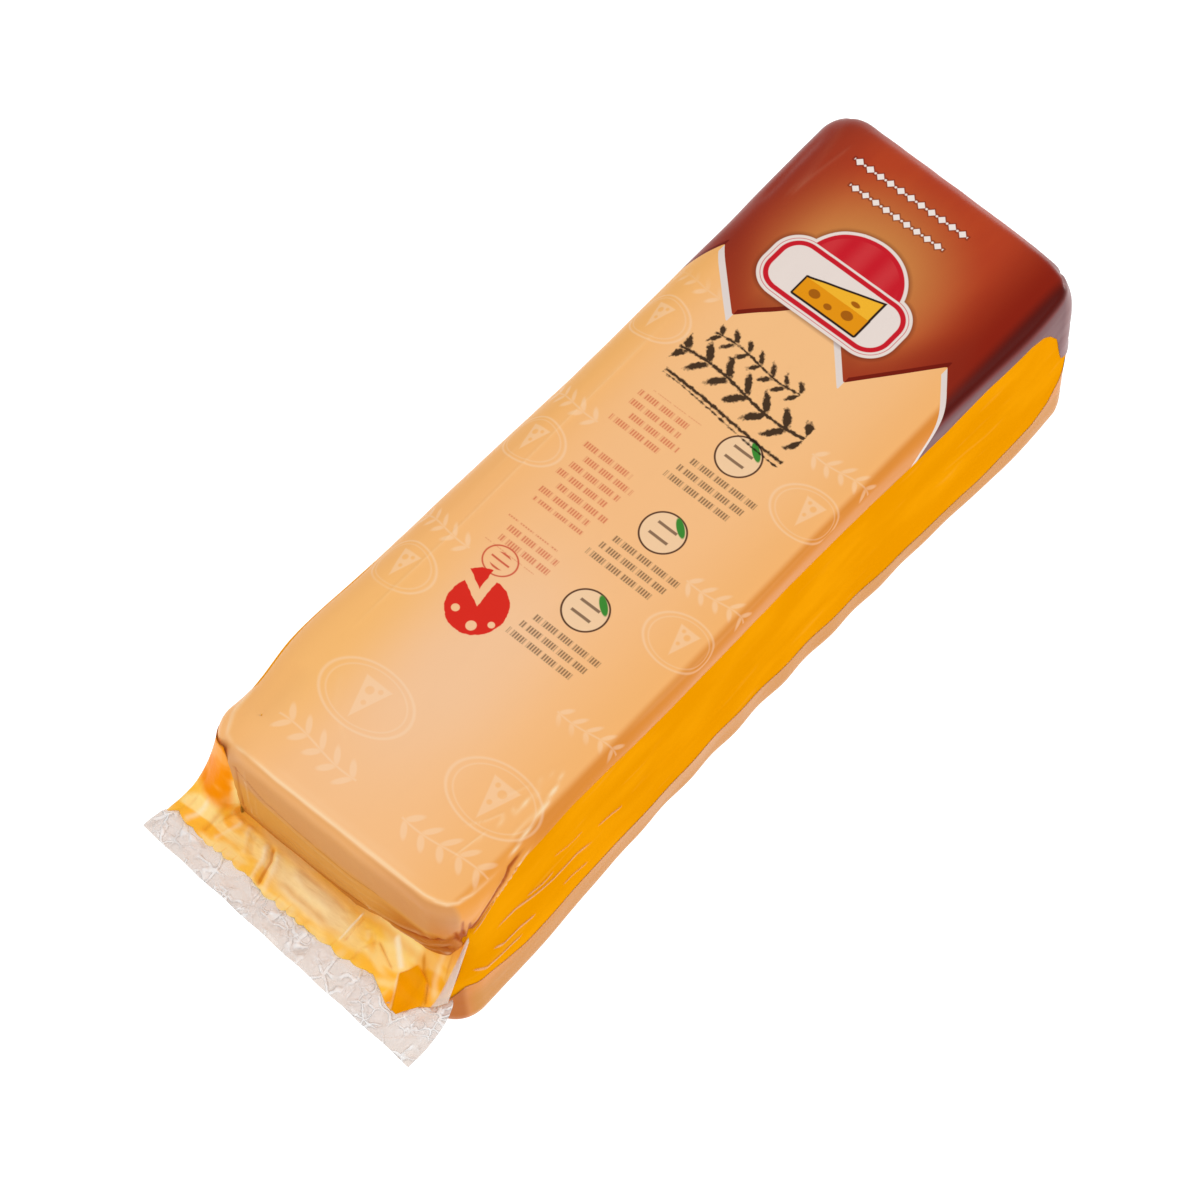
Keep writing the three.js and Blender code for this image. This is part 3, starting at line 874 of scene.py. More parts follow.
def ghost_motifs(coat, u, v):
    """Faint marks in rows along both long edges, and two larger ones near the sealed end."""
    start, shift = GHOST_SHIFT
    row_u = (u - start - v.math("SIGN") * shift).repeat(GHOST_PITCH)
    marks = ghost(row_u, abs(v) - GHOST_ROW_V, **SMALL_GHOST)
    rows = u.step(216, 208) * u.step(66, 72)
    coat.lay(GHOST_INK, inside(marks, GHOST_EDGE) * rows * 0.36)
    middle_v, from_middle = LARGE_GHOST_V
    large = ghost(u - LARGE_GHOST_U, abs(v - middle_v) - from_middle, **LARGE_GHOST)
    coat.lay(GHOST_INK, inside(large, GHOST_EDGE) * 0.34)


def brown_band(coat, u, v, y, z):
    """The brown end of the print, with its zigzag edge trimmed in white and maroon."""
    edge_u = v.line(ZIGZAG)
    rising = inside(edge_u - (v + ZIGZAG_PROBE).line(ZIGZAG), 0.1)
    past = u - edge_u
    brown = Coat("B13B20")
    brown.lay("BC4722", noise_field(u.tree, 7, 3, (4, 1, 1)))
    brown.lay("D28E4A", oval(u, v, *BROWN_GLOW).step(4, -34) * 0.95)
    brown.lay("93301F", v.step(20, 46) * 0.9)
    brown.lay("881C0A", (-v).step(22, 44) * 0.95)
    brown.lay("8A2A18", past.step(22, 2) * 0.5)
    brown.lay("57130D", (-y).step(44, 48.5) * z.step(76, 79.5))
    # Partly the film's see-through tone, partly painted sheen: the brown turns purple-grey down the sides and
    # by the tucked end's right corner.
    brown.lay("703D40", abs(y).step(47, 49.5) * z.step(79, 76))
    brown.lay("93696A", u.step(282, 286) * z.step(80, 76) * (-y).step(36, 42) * 0.9)
    above = inside(-z + BAND_LOWEST)
    brown_side = inside(-past)
    coat.lay(brown.colour, brown_side * above)
    maroon = inside(past - MAROON_WIDTH) * brown_side * (rising * -1 + 1)
    coat.lay("701408", maroon * above * 0.9)
    white = inside(past) * inside(-past - WHITE_WIDTH) * rising
    coat.lay("E3D6CF", white * above)


def badge(coat, u, v):
    """A made-up badge: a red half sun behind a cream plate with a wedge of cheese on it."""
    bu = u - BADGE_U
    bv = v - BADGE_V
    plate = rectangle(bu, bv, *PLATE)
    sun = oval(bu, bv, *SUN).over(-bu + SUN[0])
    outline = plate.under(sun)
    coat.lay("5E1C14", inside(outline - 1.9, 1.6) * 0.55)
    coat.lay("EBDDD5", inside(outline - 1.1))
    coat.lay("CB1B29", inside(outline))
    rays = (bv * 0.62).sine() * 0.5 + 0.5
    coat.lay("DA4A4C", inside(sun + 1.5) * rays * 0.4)
    for ink, inset in (("EBDDD5", 0.2), ("CB1B29", 1), ("EBDDD5", 2.7)):
        coat.lay(ink, inside(plate + inset))
    front = rectangle(bu + 3.6, bv + 1.5, *ICON_FRONT)
    top = (-bu - 0.2).over(bu + bv * 0.32 - 3.2).over(-bv - 13.5)
    coat.lay("2A1A14", inside((front.under(top) - 0.8).over(bv - ICON_END)))
    coat.lay("F5B62E", inside(top))
    coat.lay("E8950F", inside(front))
    coat.lay("A85F0C", inside(nearest(oval(bu, bv, *hole) for hole in ICON_HOLES)))


def ornament_rows(coat, u, v):
    """Two rows of small white diamonds and dots over the badge."""
    for row_u, row_v, half_length, size in DIAMOND_ROWS:
        local_v = (v - row_v).repeat(DIAMOND_PITCH)
        diamond = abs(u - row_u) + abs(local_v) - size
        dot = disc(u, abs(local_v), row_u, DIAMOND_PITCH / 2, 0.4)
        row = diamond.under(dot).over(abs(v - row_v) - half_length)
        coat.lay("5A1A12", inside(row - 0.6) * 0.5)
        coat.lay("F1E6DF", inside(row))


def rough_edge(tree, size, amount):
    """Noise that makes a mark's edge uneven by up to half the amount."""
    return (noise_field(tree, size) - 0.5) * amount


def brush_sprigs(coat, u, v):
    """Two dark sprigs in dry-brush strokes, and the stroke under them."""
    small, large = (sprig(u - at_u, v - at_v, *form) for at_u, at_v, *form in BRUSH_SPRIGS)
    line_u, line_v, half_length = BRUSH_LINE
    bent_u = u - line_u - (v * 0.07).sine() * 1.2
    line = (abs(bent_u) - 0.55).under(abs(bent_u + 1.7 - v * 0.02) - 0.22)
    marks = small.under(large).under(line.over(abs(v - line_v) - half_length))
    coat.lay("24150E", inside(marks + rough_edge(u.tree, 1.3, 1.5), 0.5) * 0.95)


def small_print(u, v, half_height, half_length, pitch):
    """Rows of short strokes in the place of small print."""
    row = (u / pitch).math("ROUND")
    off_row = abs(u - row * pitch) - pitch / 4
    wave, sway = RAGGED
    ragged = abs(v + (row * wave).sine() * sway) - half_length
    strokes = abs(v.repeat(STROKE_PITCH)) - STROKE_HALF_WIDTH
    gap_wave, row_shift, gap_level = STROKE_GAPS
    gaps = -(v * gap_wave + row * row_shift).sine() - gap_level
    return off_row.over(ragged).over(strokes).over(gaps).over(abs(u) - half_height)


def text_rows(coat, u, v):
    """Red rows in paragraphs beside the middle, and dark rows beside each round mark."""
    paragraphs = (u - RED_ROWS_U - 2).repeat(PARAGRAPH_PITCH)
    red_rows = small_print(u - RED_ROWS_U, v - RED_ROWS_V, 36, 9.5, 4.1)
    red_rows = red_rows.over(-abs(paragraphs - 13) + 4.2).over(abs(u - 136) - 38)
    coat.lay("CE4A2C", inside(red_rows, 0.4) * 0.72)
    dark_rows = small_print((u - 122).repeat(35.5), v + 13, 6.4, 12.5, 4.2).over(abs(u - 122) - 50)
    coat.lay("4A3222", inside(dark_rows, 0.4) * 0.78)


def round_marks(coat, u, v):
    """Three round marks, each with two dashes and a green leaf."""
    mark_u = (u - MARKS_U).repeat(MARKS_PITCH)
    three = abs(u - MARKS_U) - MARKS_PITCH * 1.5
    rim = disc(mark_u, v, 0, MARKS_V, MARK_RADIUS).over(three)
    coat.lay("F3D2AC", inside(rim) * 0.7)
    coat.lay("5B3B2A", inside(abs(rim) - 0.3))
    dashes = (abs(abs(mark_u) - 2.2) - 0.5).over(abs(v - MARKS_V) - 3.6).over(three)
    coat.lay("5B3B2A", inside(dashes) * 0.8)
    leaf_u, leaf_v = turned(mark_u - 4.6, v - MARKS_V + 3, 50)
    coat.lay("3E8A34", inside(oval(leaf_u, leaf_v, 0, 0, 3.6, 1.2).over(three)))


def stamp_and_wheel(coat, u, v):
    """A round stamp with bars, and a red cheese wheel with a slice drawn out of it."""
    stamp = oval(u, v, *STAMP)
    bars = (abs((u - STAMP[0]).repeat(2.6)) - 0.32).over(stamp + 2)
    coat.lay("CC3A28", inside((abs(stamp) - 0.25).under(bars)) * 0.85)
    notch_u, notch_v = turned(u - WHEEL[0], v - WHEEL[1], SLICE_TURN)
    wheel = oval(u, v, *WHEEL).over(notch_u * 0.55 - abs(notch_v))
    slice_u, slice_v = turned(u - SLICE_TIP[0], v - SLICE_TIP[1], SLICE_TURN)
    cut = (abs(slice_v) - slice_u * 0.5 + 0.8).over(oval(u, v, *SLICE_TIP, *SLICE_HALF))
    red = wheel.under(cut) + rough_edge(u.tree, 2.2, 0.9)
    holes = nearest(disc(u, v, *hole) for hole in WHEEL_HOLES)
    coat.lay("DB2B1F", inside(red) * (-inside(holes) + 1))


def base_band_and_end_shade(coat, u, y, z):
    """Deeper tones low on the sides, and on the sealed end pink above and yellow below its fold, the whole
    end painted darker than the top as shade, deeper still in its crease and lower right folds.
    """
    coat.lay("CF8936", z.step(26, 16) * 0.95)
    wrap = (-y).step(38, 47) * 3
    end = (u - wrap).step(3.5, 1.2) * z.step(80.4, 79)
    # Painted shade: the sealed end is painted darker than the top, darker still below its top edge and
    # towards its right.
    coat.lay("E8A967", end)
    coat.lay("D3955A", end * z.step(79, 71))
    coat.lay("CC8850", end * (-y).step(8, 40) * 0.6)
    # Below the fold: a yellower print tone with painted shade.
    under_fold = (z - abs(y - 6) * 0.06).step(60.5, 57)
    coat.lay("DA9845", end * under_fold)
    # Painted shade in the crease.
    crease = (z - 37 - abs(y + 5) * 0.1).step(7, 0)
    coat.lay("CB8434", end * crease * 0.6)
    # Partly print, partly painted shade: the right side's deeper band runs down the corner.
    corner = (-y).step(39, 46) * u.step(9, 5) * z.step(80, 77)
    coat.lay("D98442", corner * z.step(74, 58) * 0.7)
    # Painted shade among the folds low on the end's right.
    under_right = end * (-y).step(14, 34) * (z - 45 + y * 0.3).step(12, 2) * z.step(62, 58)
    coat.lay("BA6418", under_right * 0.85)


def fold_tones(coat, tree):
    """Fold tones: deeper in the grooves, partly where the film lies doubled and partly as painted shade, and
    paler on the ridges as painted highlights.
    """
    tone = mesh_field(tree, "fold_tone")
    coat.lay("A8450A", tone.step(0, -1) * 0.85)
    coat.lay("FFE6BE", tone.step(0, 1) * 0.85)


def window_mask(u, y, z):
    """1 where the film is clear: a long panel in each side."""
    top = u.line(WINDOW_TOP)
    base = u.line(WINDOW_BASE)
    outside = (z - top).over(base - z).over(-abs(y) + WINDOW_FROM_MIDDLE)
    return inside(outside, WINDOW_EDGE)


# The looks

FILM_GLOSS = 0.07
FILM_ROUGHNESS = 0.32
# The strength of the skirt's painted glow.
SKIRT_GLOW = 0.1
RIBBON_BODY = 0.5
CRACK_CORE = 0.3


def printed_look(name, top=False):
    """Printed film with a soft sheen and fine, long ripples, and the print's marks if it is the top's.

    It gives the material, its shader and the places u, y and z.
    """
    material, tree, shader = new_material(name)
    x, y, z = surface_places(tree)
    u = x + HALF_LENGTH
    v = y + y.math("SIGN") * (-z + LOAF_HEIGHT)
    coat = peach_ground(u, v, z)
    if top:
        ghost_motifs(coat, u, v)
    base_band_and_end_shade(coat, u, y, z)
    if top:
        text_rows(coat, u, v)
        round_marks(coat, u, v)
        stamp_and_wheel(coat, u, v)
        brush_sprigs(coat, u, v)
    brown_band(coat, u, v, y, z)
    if top:
        badge(coat, u, v)
        ornament_rows(coat, u, v)
    fold_tones(coat, tree)
    values = {"Base Color": coat.colour, "Specular IOR Level": FILM_GLOSS, "Roughness": FILM_ROUGHNESS}
    plug_all(shader, values)
    add_bump(noise_field(tree, 12, 2, (3, 1, 1)), shader, 0.35)
    return material, Field(tree, shader.outputs[0]), (u, y, z)


def side_film_material():
    """The film down the long sides, with a long clear window in each, and painted glare streaks in the
    windows along the folds' ridges.
    """
    material, printed, place = printed_look("printed_film_sides")
    tree = printed.tree
    clear = add_node(tree, "ShaderNodeBsdfTransparent", {"Color": "FFFBF5"})
    # Painted highlights: pale diffuse streaks stand in for glare off the window's folds.
    streak = add_node(tree, "ShaderNodeBsdfDiffuse", {"Color": "F5B47A"})
    glare = mesh_field(tree, "fold_tone").step(0.12, 0.8) * 0.8
    pane = mix_shaders(tree, glare, clear, streak)
    show(tree, mix_shaders(tree, window_mask(*place), printed, pane))
    return material


def cheese_material():
    material, tree, shader = new_material("cheese")
    patches = noise_field(tree, 16, 2, (2.2, 1, 1))
    coat = Coat("E99A00")
    coat.lay("F2A406", patches.step(0.35, 0.75))
    streaks = noise_field(tree, 5, 2, (5, 1, 1)).step(0.6, 0.8)
    coat.lay("F5AC34", streaks * 0.4)
    plug_all(shader, {"Base Color": coat.colour, "Roughness": 0.5, "Specular IOR Level": 0})
    add_bump(noise_field(tree, 3, 3), shader, 0.2)
    return material


def skirt_colour(tree):
    """Yellow, pale along the skirt's middle, and deeper at its ends, in its webs and along the weld, with
    painted shade at its root, in its folds and between its gathers, and painted highlights on its ridges.
    """
    x, y, z = surface_places(tree)
    past = -x - HALF_LENGTH
    blotches = noise_field(tree, 8, 1, (0.6, 1.6, 1))
    dark_blotches = blotches.step(0.6, 0.4)
    web = y.step(35.5, 38) * z.step(40, 45)
    right = (-y).step(35.5, 39)
    fingers = mesh_field(tree, "weld") * mesh_field(tree, "gather")
    tone = mesh_field(tree, "fold_tone")
    coat = Coat("FFCB52")
    coat.lay("FFDF90", blotches.step(0.38, 0.62))
    coat.lay("FBE4AE", oval(past, y, 6, 1, 6, 17).step(2.5, -3) * 0.85)
    golden = (-y).step(20, 27) * past.step(1, 5)
    coat.lay("FFC036", golden * (blotches.step(0.62, 0.4) * 0.6 + 0.15))
    coat.lay("FBB22A", y.step(26, 38) * blotches.step(0.6, 0.42) * 0.6)
    coat.lay("F08A00", web * (dark_blotches * 0.2 + 0.8))
    # Painted shade low by the root, where the skirt leaves the loaf's end.
    coat.lay("E89A3A", past.step(3, 0) * z.step(44, 40) * 0.5)
    # Along the weld the gathers' crests are paler, thinner film, with painted shade in the hollows between
    # them.
    coat.lay("F8E0A8", fingers.step(0.4, 1) * 0.4)
    coat.lay("DDAE3C", fingers.step(-0.4, -1) * 0.55)
    coat.lay("F0A21C", right * (dark_blotches * 0.25 + 0.65))
    coat.lay("E58A20", right * z.step(44, 52) * 0.7)
    coat.lay("EC9A00", mesh_field(tree, "flap") * 0.95)
    # In the folds' grooves the film is deeper, partly doubled and partly painted shade; on their ridges,
    # painted highlights.
    coat.lay("CC7A08", tone.step(-0.05, -1) * 0.85)
    coat.lay("FFF3D2", tone.step(0.05, 1) * (-web + 1) * (right * -0.45 + 1) * 0.85)
    return coat.colour


def yellow_film_material():
    """The film of the bag's skirt, with a faint painted glow, and a clear, whitish ribbon along its right
    edge.
    """
    material, tree, shader = new_material("yellow_film")
    colour = skirt_colour(tree)
    plug_all(shader, {"Base Color": colour, "Roughness": 0.35, "Specular IOR Level": 0.01})
    # Painted glow: the film gives off a little light of its own colour, to lighten it where the loaf shades
    # it.
    plug_all(shader, {"Emission Color": colour, "Emission Strength": SKIRT_GLOW})
    crumples = noise_field(tree, 3.2, 2, (0.6, 1.6, 1)) + noise_field(tree, 9, 1) * 1.5
    add_bump(crumples, shader, 0.2)
    clear = add_node(tree, "ShaderNodeBsdfTransparent", {"Color": "FFF8EE"})
    whitish = add_node(tree, "ShaderNodeBsdfDiffuse", {"Color": "F6EEE4"})
    ribbon = mix_shaders(tree, RIBBON_BODY, clear, whitish)
    body = Field(tree, shader.outputs[0])
    show(tree, mix_shaders(tree, mesh_field(tree, "clear_edge"), body, ribbon))
    return material


def clear_film_material():
    """Clear crackled film, milky where it is doubled, with painted highlights along its creases."""
    material, tree, shader = new_material("clear_film")
    haze = noise_field(tree, 13, 1)
    breaks = noise_field(tree, 6, 1).step(0.38, 0.55)
    coarse = crackle_field(tree, 7.5, 6, 0.1) * breaks
    fine = crackle_field(tree, 3.8, 3, 0.12) * haze.step(0.46, 0.6)
    lines = coarse.over(fine * 0.8)
    coat = Coat("D0C7C0")
    coat.lay("E9E3E0", haze.step(0.36, 0.6))
    # Painted highlights: the creases' lines are painted white.
    coat.lay("FFFFFF", lines)
    plug_all(shader, {"Base Color": coat.colour, "Roughness": 0.2, "Specular IOR Level": 0.6})
    add_bump(lines * 0.8 + noise_field(tree, 3.6, 1) * 1.2, shader, 0.35)
    clear = add_node(tree, "ShaderNodeBsdfTransparent", {"Color": "F6F0EC"})
    body = (haze.step(0.3, 0.7) * 0.25 + lines * 0.5 + 0.3).under(0.9)
    show(tree, mix_shaders(tree, body, clear, Field(tree, shader.outputs[0])))
    return material


# The pieces

CHEESE_INSET = 0.14
EXTRA_INSET = 0.5
TOP_FILM_FROM = 76


def film_zones(block, quads):
    """Which material each face wears: 0 on the top, 1 on the long sides, 2 on the rest."""
    middles = block[quads].mean(axis=1)
    top = middles[:, 2] > TOP_FILM_FROM
    side = (np.abs(middles[:, 1]) > WINDOW_FROM_MIDDLE) & ~top
    return np.append(np.where(top, 0, np.where(side, 1, 2)), 2)


def build_loaf():
    """The printed film, and just inside it the cheese."""
    block, quads, base = loaf_grid()
    flat_base = block[:, 2] == 0
    plain = shape_loaf(block)
    drawn = boxy_edge(block) - base_tuck(block) - left_draw(block)
    drawn[flat_base] = 0
    film = plain + vertex_normals(plain, quads) * drawn[:, None]
    normals = vertex_normals(film, quads)
    height, tone = film_relief(film, normals)
    height[flat_base] = 0
    film += normals * height[:, None]
    faces = [*quads, base]
    top_look = printed_look("printed_film_top", top=True)[0]
    looks = [top_look, side_film_material(), printed_look("printed_film_ends")[0]]
    zones = film_zones(block, quads)
    shell = add_mesh("printed_film", film, faces, looks, zones, {"fold_tone": tone})
    normals = vertex_normals(film, quads)
    inset = CHEESE_INSET + EXTRA_INSET * (1 - np.abs(normals[:, 1]))
    inner = film - normals * inset[:, None]
    inner[flat_base] = film[flat_base] + (0, 0, CHEESE_INSET)
    cheese = add_mesh("cheese_loaf", inner, faces, [cheese_material()])
    for piece, slot in ((shell, "printed_film"), (cheese, "cheese")):
        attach(piece, "root")
        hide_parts("wrapped_loaf")


TAIL_COLUMNS = 360
SKIRT_ROWS = 60
STRIP_ROWS = 44
ROOT_Y = (49, -49.3)
TUCK_INTO_LOAF = 1.0
WEB_TUCK = 0.2
WEB_FALL = 4
TIP_THICKNESS = 0.3
# Where the yellow film ends: y from left to right, and how far past the end face.
SKIRT_EDGE_Y = [-52.4, -50.5, -48, -46, -43.9, -38.5, -34, -29.2, -26.5, -22, -8, 13, 19, 39, 44, 50, 53]
SKIRT_EDGE_REACH = [5.2, 8, 10.3, 14.5, 18.4, 17.2, 14.8, 12.3, 13.4]
SKIRT_EDGE_REACH += [14.3, 14.9, 14.8, 13.5, 13.6, 12.7, 11.9, 12.9]
GATHER_PITCH = 5
GATHER_REACH = 0.6
GATHER_HEIGHT = 0.15
# How the gathers' pitch and their height wander along the weld: an amount and a size.
GATHER_SWAY = (1.2, 5.3)
GATHER_SWELL = (0.3, 3.7)
# The folded flap by the right corner: its corners as (past the end face, y).
FLAP_CORNERS = [(2.5, -38.2), (7.4, -35.3), (19, -42.3), (18.6, -44.6), (11.1, -47.8), (4.7, -43.7)]
FLAP_EDGE = 0.4
FLAP_MIDDLE = 9
FLAP_LIFT = 1.3
FLAP_TILT = 0.1
# Folds of the skirt: paths of (past the end face, y), a height, a width and a tone: painted shade below 0,
# painted highlight above 0.
SKIRT_FOLDS = [
    ([(0, 22), (5, 18.5), (10.5, 16.8), (15, 15)], -1.2, 0.7, -1.1),
    ([(1, 24), (6, 20.5), (12, 18.7), (16, 17)], 0.9, 1.1, 0.6),
    ([(1, 19), (6, 15.8), (12, 14), (15, 12)], 0.5, 1.2, 0.6),
    ([(0, 31), (3, 30), (7, 27), (10, 25.5)], 0.5, 1.3, 0.4),
    ([(1, 28), (4, 27), (8, 24)], -0.4, 1.2, -0.4),
    ([(4, 12), (5.5, 2), (5.5, -8)], 0.5, 1.6, 0.35),
    ([(9, 13), (10.5, 2), (11, -10)], 0.35, 1.3, 0.3),
    ([(7.5, 12), (8, 2), (8, -9)], -0.35, 1.2, -0.18),
    ([(1, 12), (1.5, 0), (2, -12)], -0.5, 1.2, -0.35),
    ([(-1, -13.9), (5, -14.2), (12, -14.7)], 0.5, 0.4, 1.1),
    ([(-1, -15), (5, -15.3), (11, -15.8)], -0.4, 0.5, -0.5),
    ([(2, -18), (5, -21), (9, -23)], 0.5, 1.4, 0.4),
    ([(3, -23), (5, -27.5), (7.5, -33)], -0.6, 0.5, -0.7),
    ([(-1, -27), (3.8, -32.3), (6.5, -35.5)], 0.7, 1.1, 1.0),
    ([(1, -20), (6, -24.5), (11, -27)], -0.4, 0.9, -0.3),
    ([(6, -34), (12, -38), (19, -41.6)], 0.2, 0.6, 0.7),
    ([(-2, -37), (2.8, -40.6), (5.6, -44.6), (11.5, -48.6)], -0.8, 0.8, -1.0),
    ([(-5, -44), (0, -44.6), (4, -46.2), (8, -49.6)], 0.6, 1.3, 0.6),
    ([(-6, -46.2), (-1, -47.2), (3, -49)], -0.4, 0.5, -0.5),
    ([(2, 45), (0, 41), (1.5, 36), (2, 32)], 0.5, 1.0, 0.1),
    ([(12, 40), (6, 40), (1, 38)], -0.7, 0.9, -0.6),
    ([(13, 47), (8, 45), (3, 44)], 0.6, 1.2, 0.7),
    ([(13, 50), (8, 49), (3, 49)], -0.5, 0.9, -0.5),
    ([(12, 36), (7, 35), (1, 33)], 0.5, 1.0, 0.5),
    ([(14, -22), (9, -21), (3, -23)], -0.5, 1.0, -0.5),
]
SKIRT_LOWEST = -0.9
# Crumples of the skirt: their size, height, and tone of painted shade and highlight.
SKIRT_LUMPS = (4.5, 0.35, 0.2)
SKIRT_CREASES = (3.2, 0.12, 0.1)
SKIRT_FOLD_TONE = 0.8
FLAP_SMOOTHS = 0.9
RIBBON_WIDTH = (0.004, 0.032)
STRAIGHT_FROM = 0.86
STRIP_EARLIEST_START = 14
STRIP_UNDER = 1.4
STRIP_END_BULGE = 1.2
STRIP_BULGE_FROM = 0.93
STRIP_THIN_SHARE = 0.3
# The weld's crackle: cells that a warp makes uneven, coarse and fine, and lumps under them.
CRACKLE_WARP = 2.5
CRACKLE_WARP_SIZE = 4
COARSE_CRACKLE = (7.5, 0.3)
FINE_CRACKLE = (3.8, 0.12)
STRIP_LUMPS = (7, 0.45)


def crumple(y, share):
    swing = np.sin(2 * np.pi * y / CRUMPLE_PITCH + 2 * np.sin(y / CRUMPLE_PITCH))
    return CRUMPLE_HEIGHT * swing * share


def sealed_face(y, z):
    """The places on the loaf's sealed end at given places across it and up it."""
    past = np.maximum(np.abs(y) - (HALF_WIDTH - CORNER_RADIUS), 0)
    arc = CORNER_RADIUS - np.sqrt(CORNER_RADIUS**2 - past**2)
    return shape_loaf(np.stack([arc - HALF_LENGTH, y, z], axis=1))


def in_flap(past, y):
    """1 inside the folded flap and 0 outside it, with a narrow slope between."""
    share = np.ones(past.shape)
    for start, end in zip(FLAP_CORNERS, FLAP_CORNERS[1:] + FLAP_CORNERS[:1]):
        along = np.subtract(end, start) / math.dist(start, end)
        depth = (past - start[0]) * along[1] - (y - start[1]) * along[0]
        share *= smooth(depth, -FLAP_EDGE, FLAP_EDGE)
    return share


def gather(y):
    """The uneven gathers of the film along the weld, from -1 to 1."""
    sway, sway_size = GATHER_SWAY
    swell, swell_size = GATHER_SWELL
    lobes = np.abs(np.sin(np.pi * y / GATHER_PITCH + sway * np.sin(y / sway_size)))
    return (2 * lobes - 1) * (1 - swell + swell * np.sin(y / swell_size))


def skirt_reach(y):
    """How far past the end face the yellow film reaches."""
    plain = np.interp(y, SKIRT_EDGE_Y, SKIRT_EDGE_REACH)
    gathered = 1 - smooth(-y, 28, 31)
    return plain + GATHER_REACH * gather(y) * gathered


def skirt_face(across, along, up):
    """The skirt leaves the loaf along the crease, with a web that hugs each corner."""
    root_y = mix(*ROOT_Y, across)
    tip_y = mix(*SKIRT_TIP, across)
    web = np.interp(root_y, WEB_Y, WEB_RISE)
    drop = WEB_DROP * np.clip(1 - 2 * across, 0, 1) ** WEB_DROP_POWER - web * (across > 0.5)
    rise = SKIRT_ROOT_HALF_THICKNESS + (web if up > 0 else drop)
    root = sealed_face(root_y, TAIL_ROOT_HEIGHT + up * rise)
    straight = smooth(across, STRAIGHT_FROM, 1)
    y = mix(tip_y, root[:, 1], (1 - along) ** mix(WEB_FALL - 1, 1, straight))
    tuck = mix(TUCK_INTO_LOAF, WEB_TUCK, smooth(web, 2, 12))
    x = mix(root[:, 0] + tuck, -HALF_LENGTH - skirt_reach(tip_y), along)
    lift = mix(TIP_THICKNESS, rise, (1 - along) ** mix(WEB_FALL, 1, straight))
    middle = mix(TAIL_ROOT_HEIGHT, TAIL_HEIGHT, along)
    return np.stack([x, y, middle + up * lift + crumple(y, along)], axis=1)


def skirt_relief(points, across, along):
    """Folds, crumples and gathers as heights, with their tones of painted shade and highlight and the flap's
    place.
    """
    past = -points[:, 0] - HALF_LENGTH
    y = points[:, 1]
    height, tone = folds_at(past, y, SKIRT_FOLDS)
    flat = np.stack([past, y * 0.5, np.zeros_like(y)], axis=1)
    flap = in_flap(past, y)
    weld = smooth(along, 0.55, 1) * (1 - flap)
    gathers = gather(y)
    lump_size, lump_height, lump_tone = SKIRT_LUMPS
    crease_size, crease_rise, crease_tone = SKIRT_CREASES
    lumps = noise_at(flat, lump_size)
    creases = 1 - 2 * np.abs(noise_at(flat + 31, crease_size))
    loose = 1 - FLAP_SMOOTHS * flap
    height = smooth(along, 0, 0.2) * loose * (height + lump_height * lumps + crease_rise * creases)
    height = np.maximum(height + GATHER_HEIGHT * gathers * weld, SKIRT_LOWEST)
    height += flap * (FLAP_LIFT + FLAP_TILT * (past - FLAP_MIDDLE))
    tone = loose * (SKIRT_FOLD_TONE * tone + lump_tone * lumps + crease_tone * creases)
    ribbon = smooth(across - 1 + mix(*RIBBON_WIDTH, along), 0, 0.004)
    tones = {"fold_tone": np.clip(tone, -1, 1), "flap": flap, "weld": weld, "gather": gathers}
    return height, tones | {"clear_edge": ribbon}


def strip_face(across, along, up):
    """One flat weld of both films, which starts just under the skirt and ends in a straight edge."""
    start_y = mix(*SKIRT_TIP, across)
    bulge = STRIP_END_BULGE * np.sin(np.pi * along) * smooth(across, STRIP_BULGE_FROM, 1)
    y = mix(start_y, mix(*STRIP_TIP, across), np.sqrt(along)) - bulge
    start_x = -HALF_LENGTH - np.minimum(skirt_reach(start_y), STRIP_EARLIEST_START) + 2
    x = mix(start_x, -HALF_LENGTH - mix(*STRIP_REACH, across), along)
    swell = STRIP_WAVE_HEIGHT * wave(y, STRIP_WAVE_PITCH) * along
    thickness = STRIP_HALF_THICKNESS * mix(STRIP_THIN_SHARE, 1, along)
    z = TAIL_HEIGHT - STRIP_UNDER * (1 - smooth(along, 0, 0.35)) + up * thickness
    return np.stack([x, y, z + crumple(y, 1 - along) + swell], axis=1)


def crackle_at(points, size, height):
    """The height on the borders of random cells, and 0 inside them."""
    values = []
    for point in points / size:
        nearest = noise.voronoi(Vector(point))[0]
        values.append(nearest[1] - nearest[0])
    return height * (1 - smooth(np.array(values), 0, 0.35))


def strip_relief(points, across, along):
    """Crackles all over the weld, and gathers where the skirt runs into it."""
    flat = points * (1, 1, 0)
    warp = [noise_at(flat + offset, CRACKLE_WARP_SIZE) for offset in (0, 50)]
    warped = flat + CRACKLE_WARP * np.stack([*warp, 0 * along], axis=1)
    crackle = crackle_at(warped, *COARSE_CRACKLE) + crackle_at(warped + 9, *FINE_CRACKLE)
    size, height = STRIP_LUMPS
    lumps = height * noise_at(flat, size)
    gathers = GATHER_HEIGHT * gather(points[:, 1]) * (1 - smooth(along, 0.1, 0.6))
    edge = smooth(along, 0.15, 0.4) * (1 - smooth(along, 0.88, 1))
    return (crackle + lumps) * edge + gathers, {}


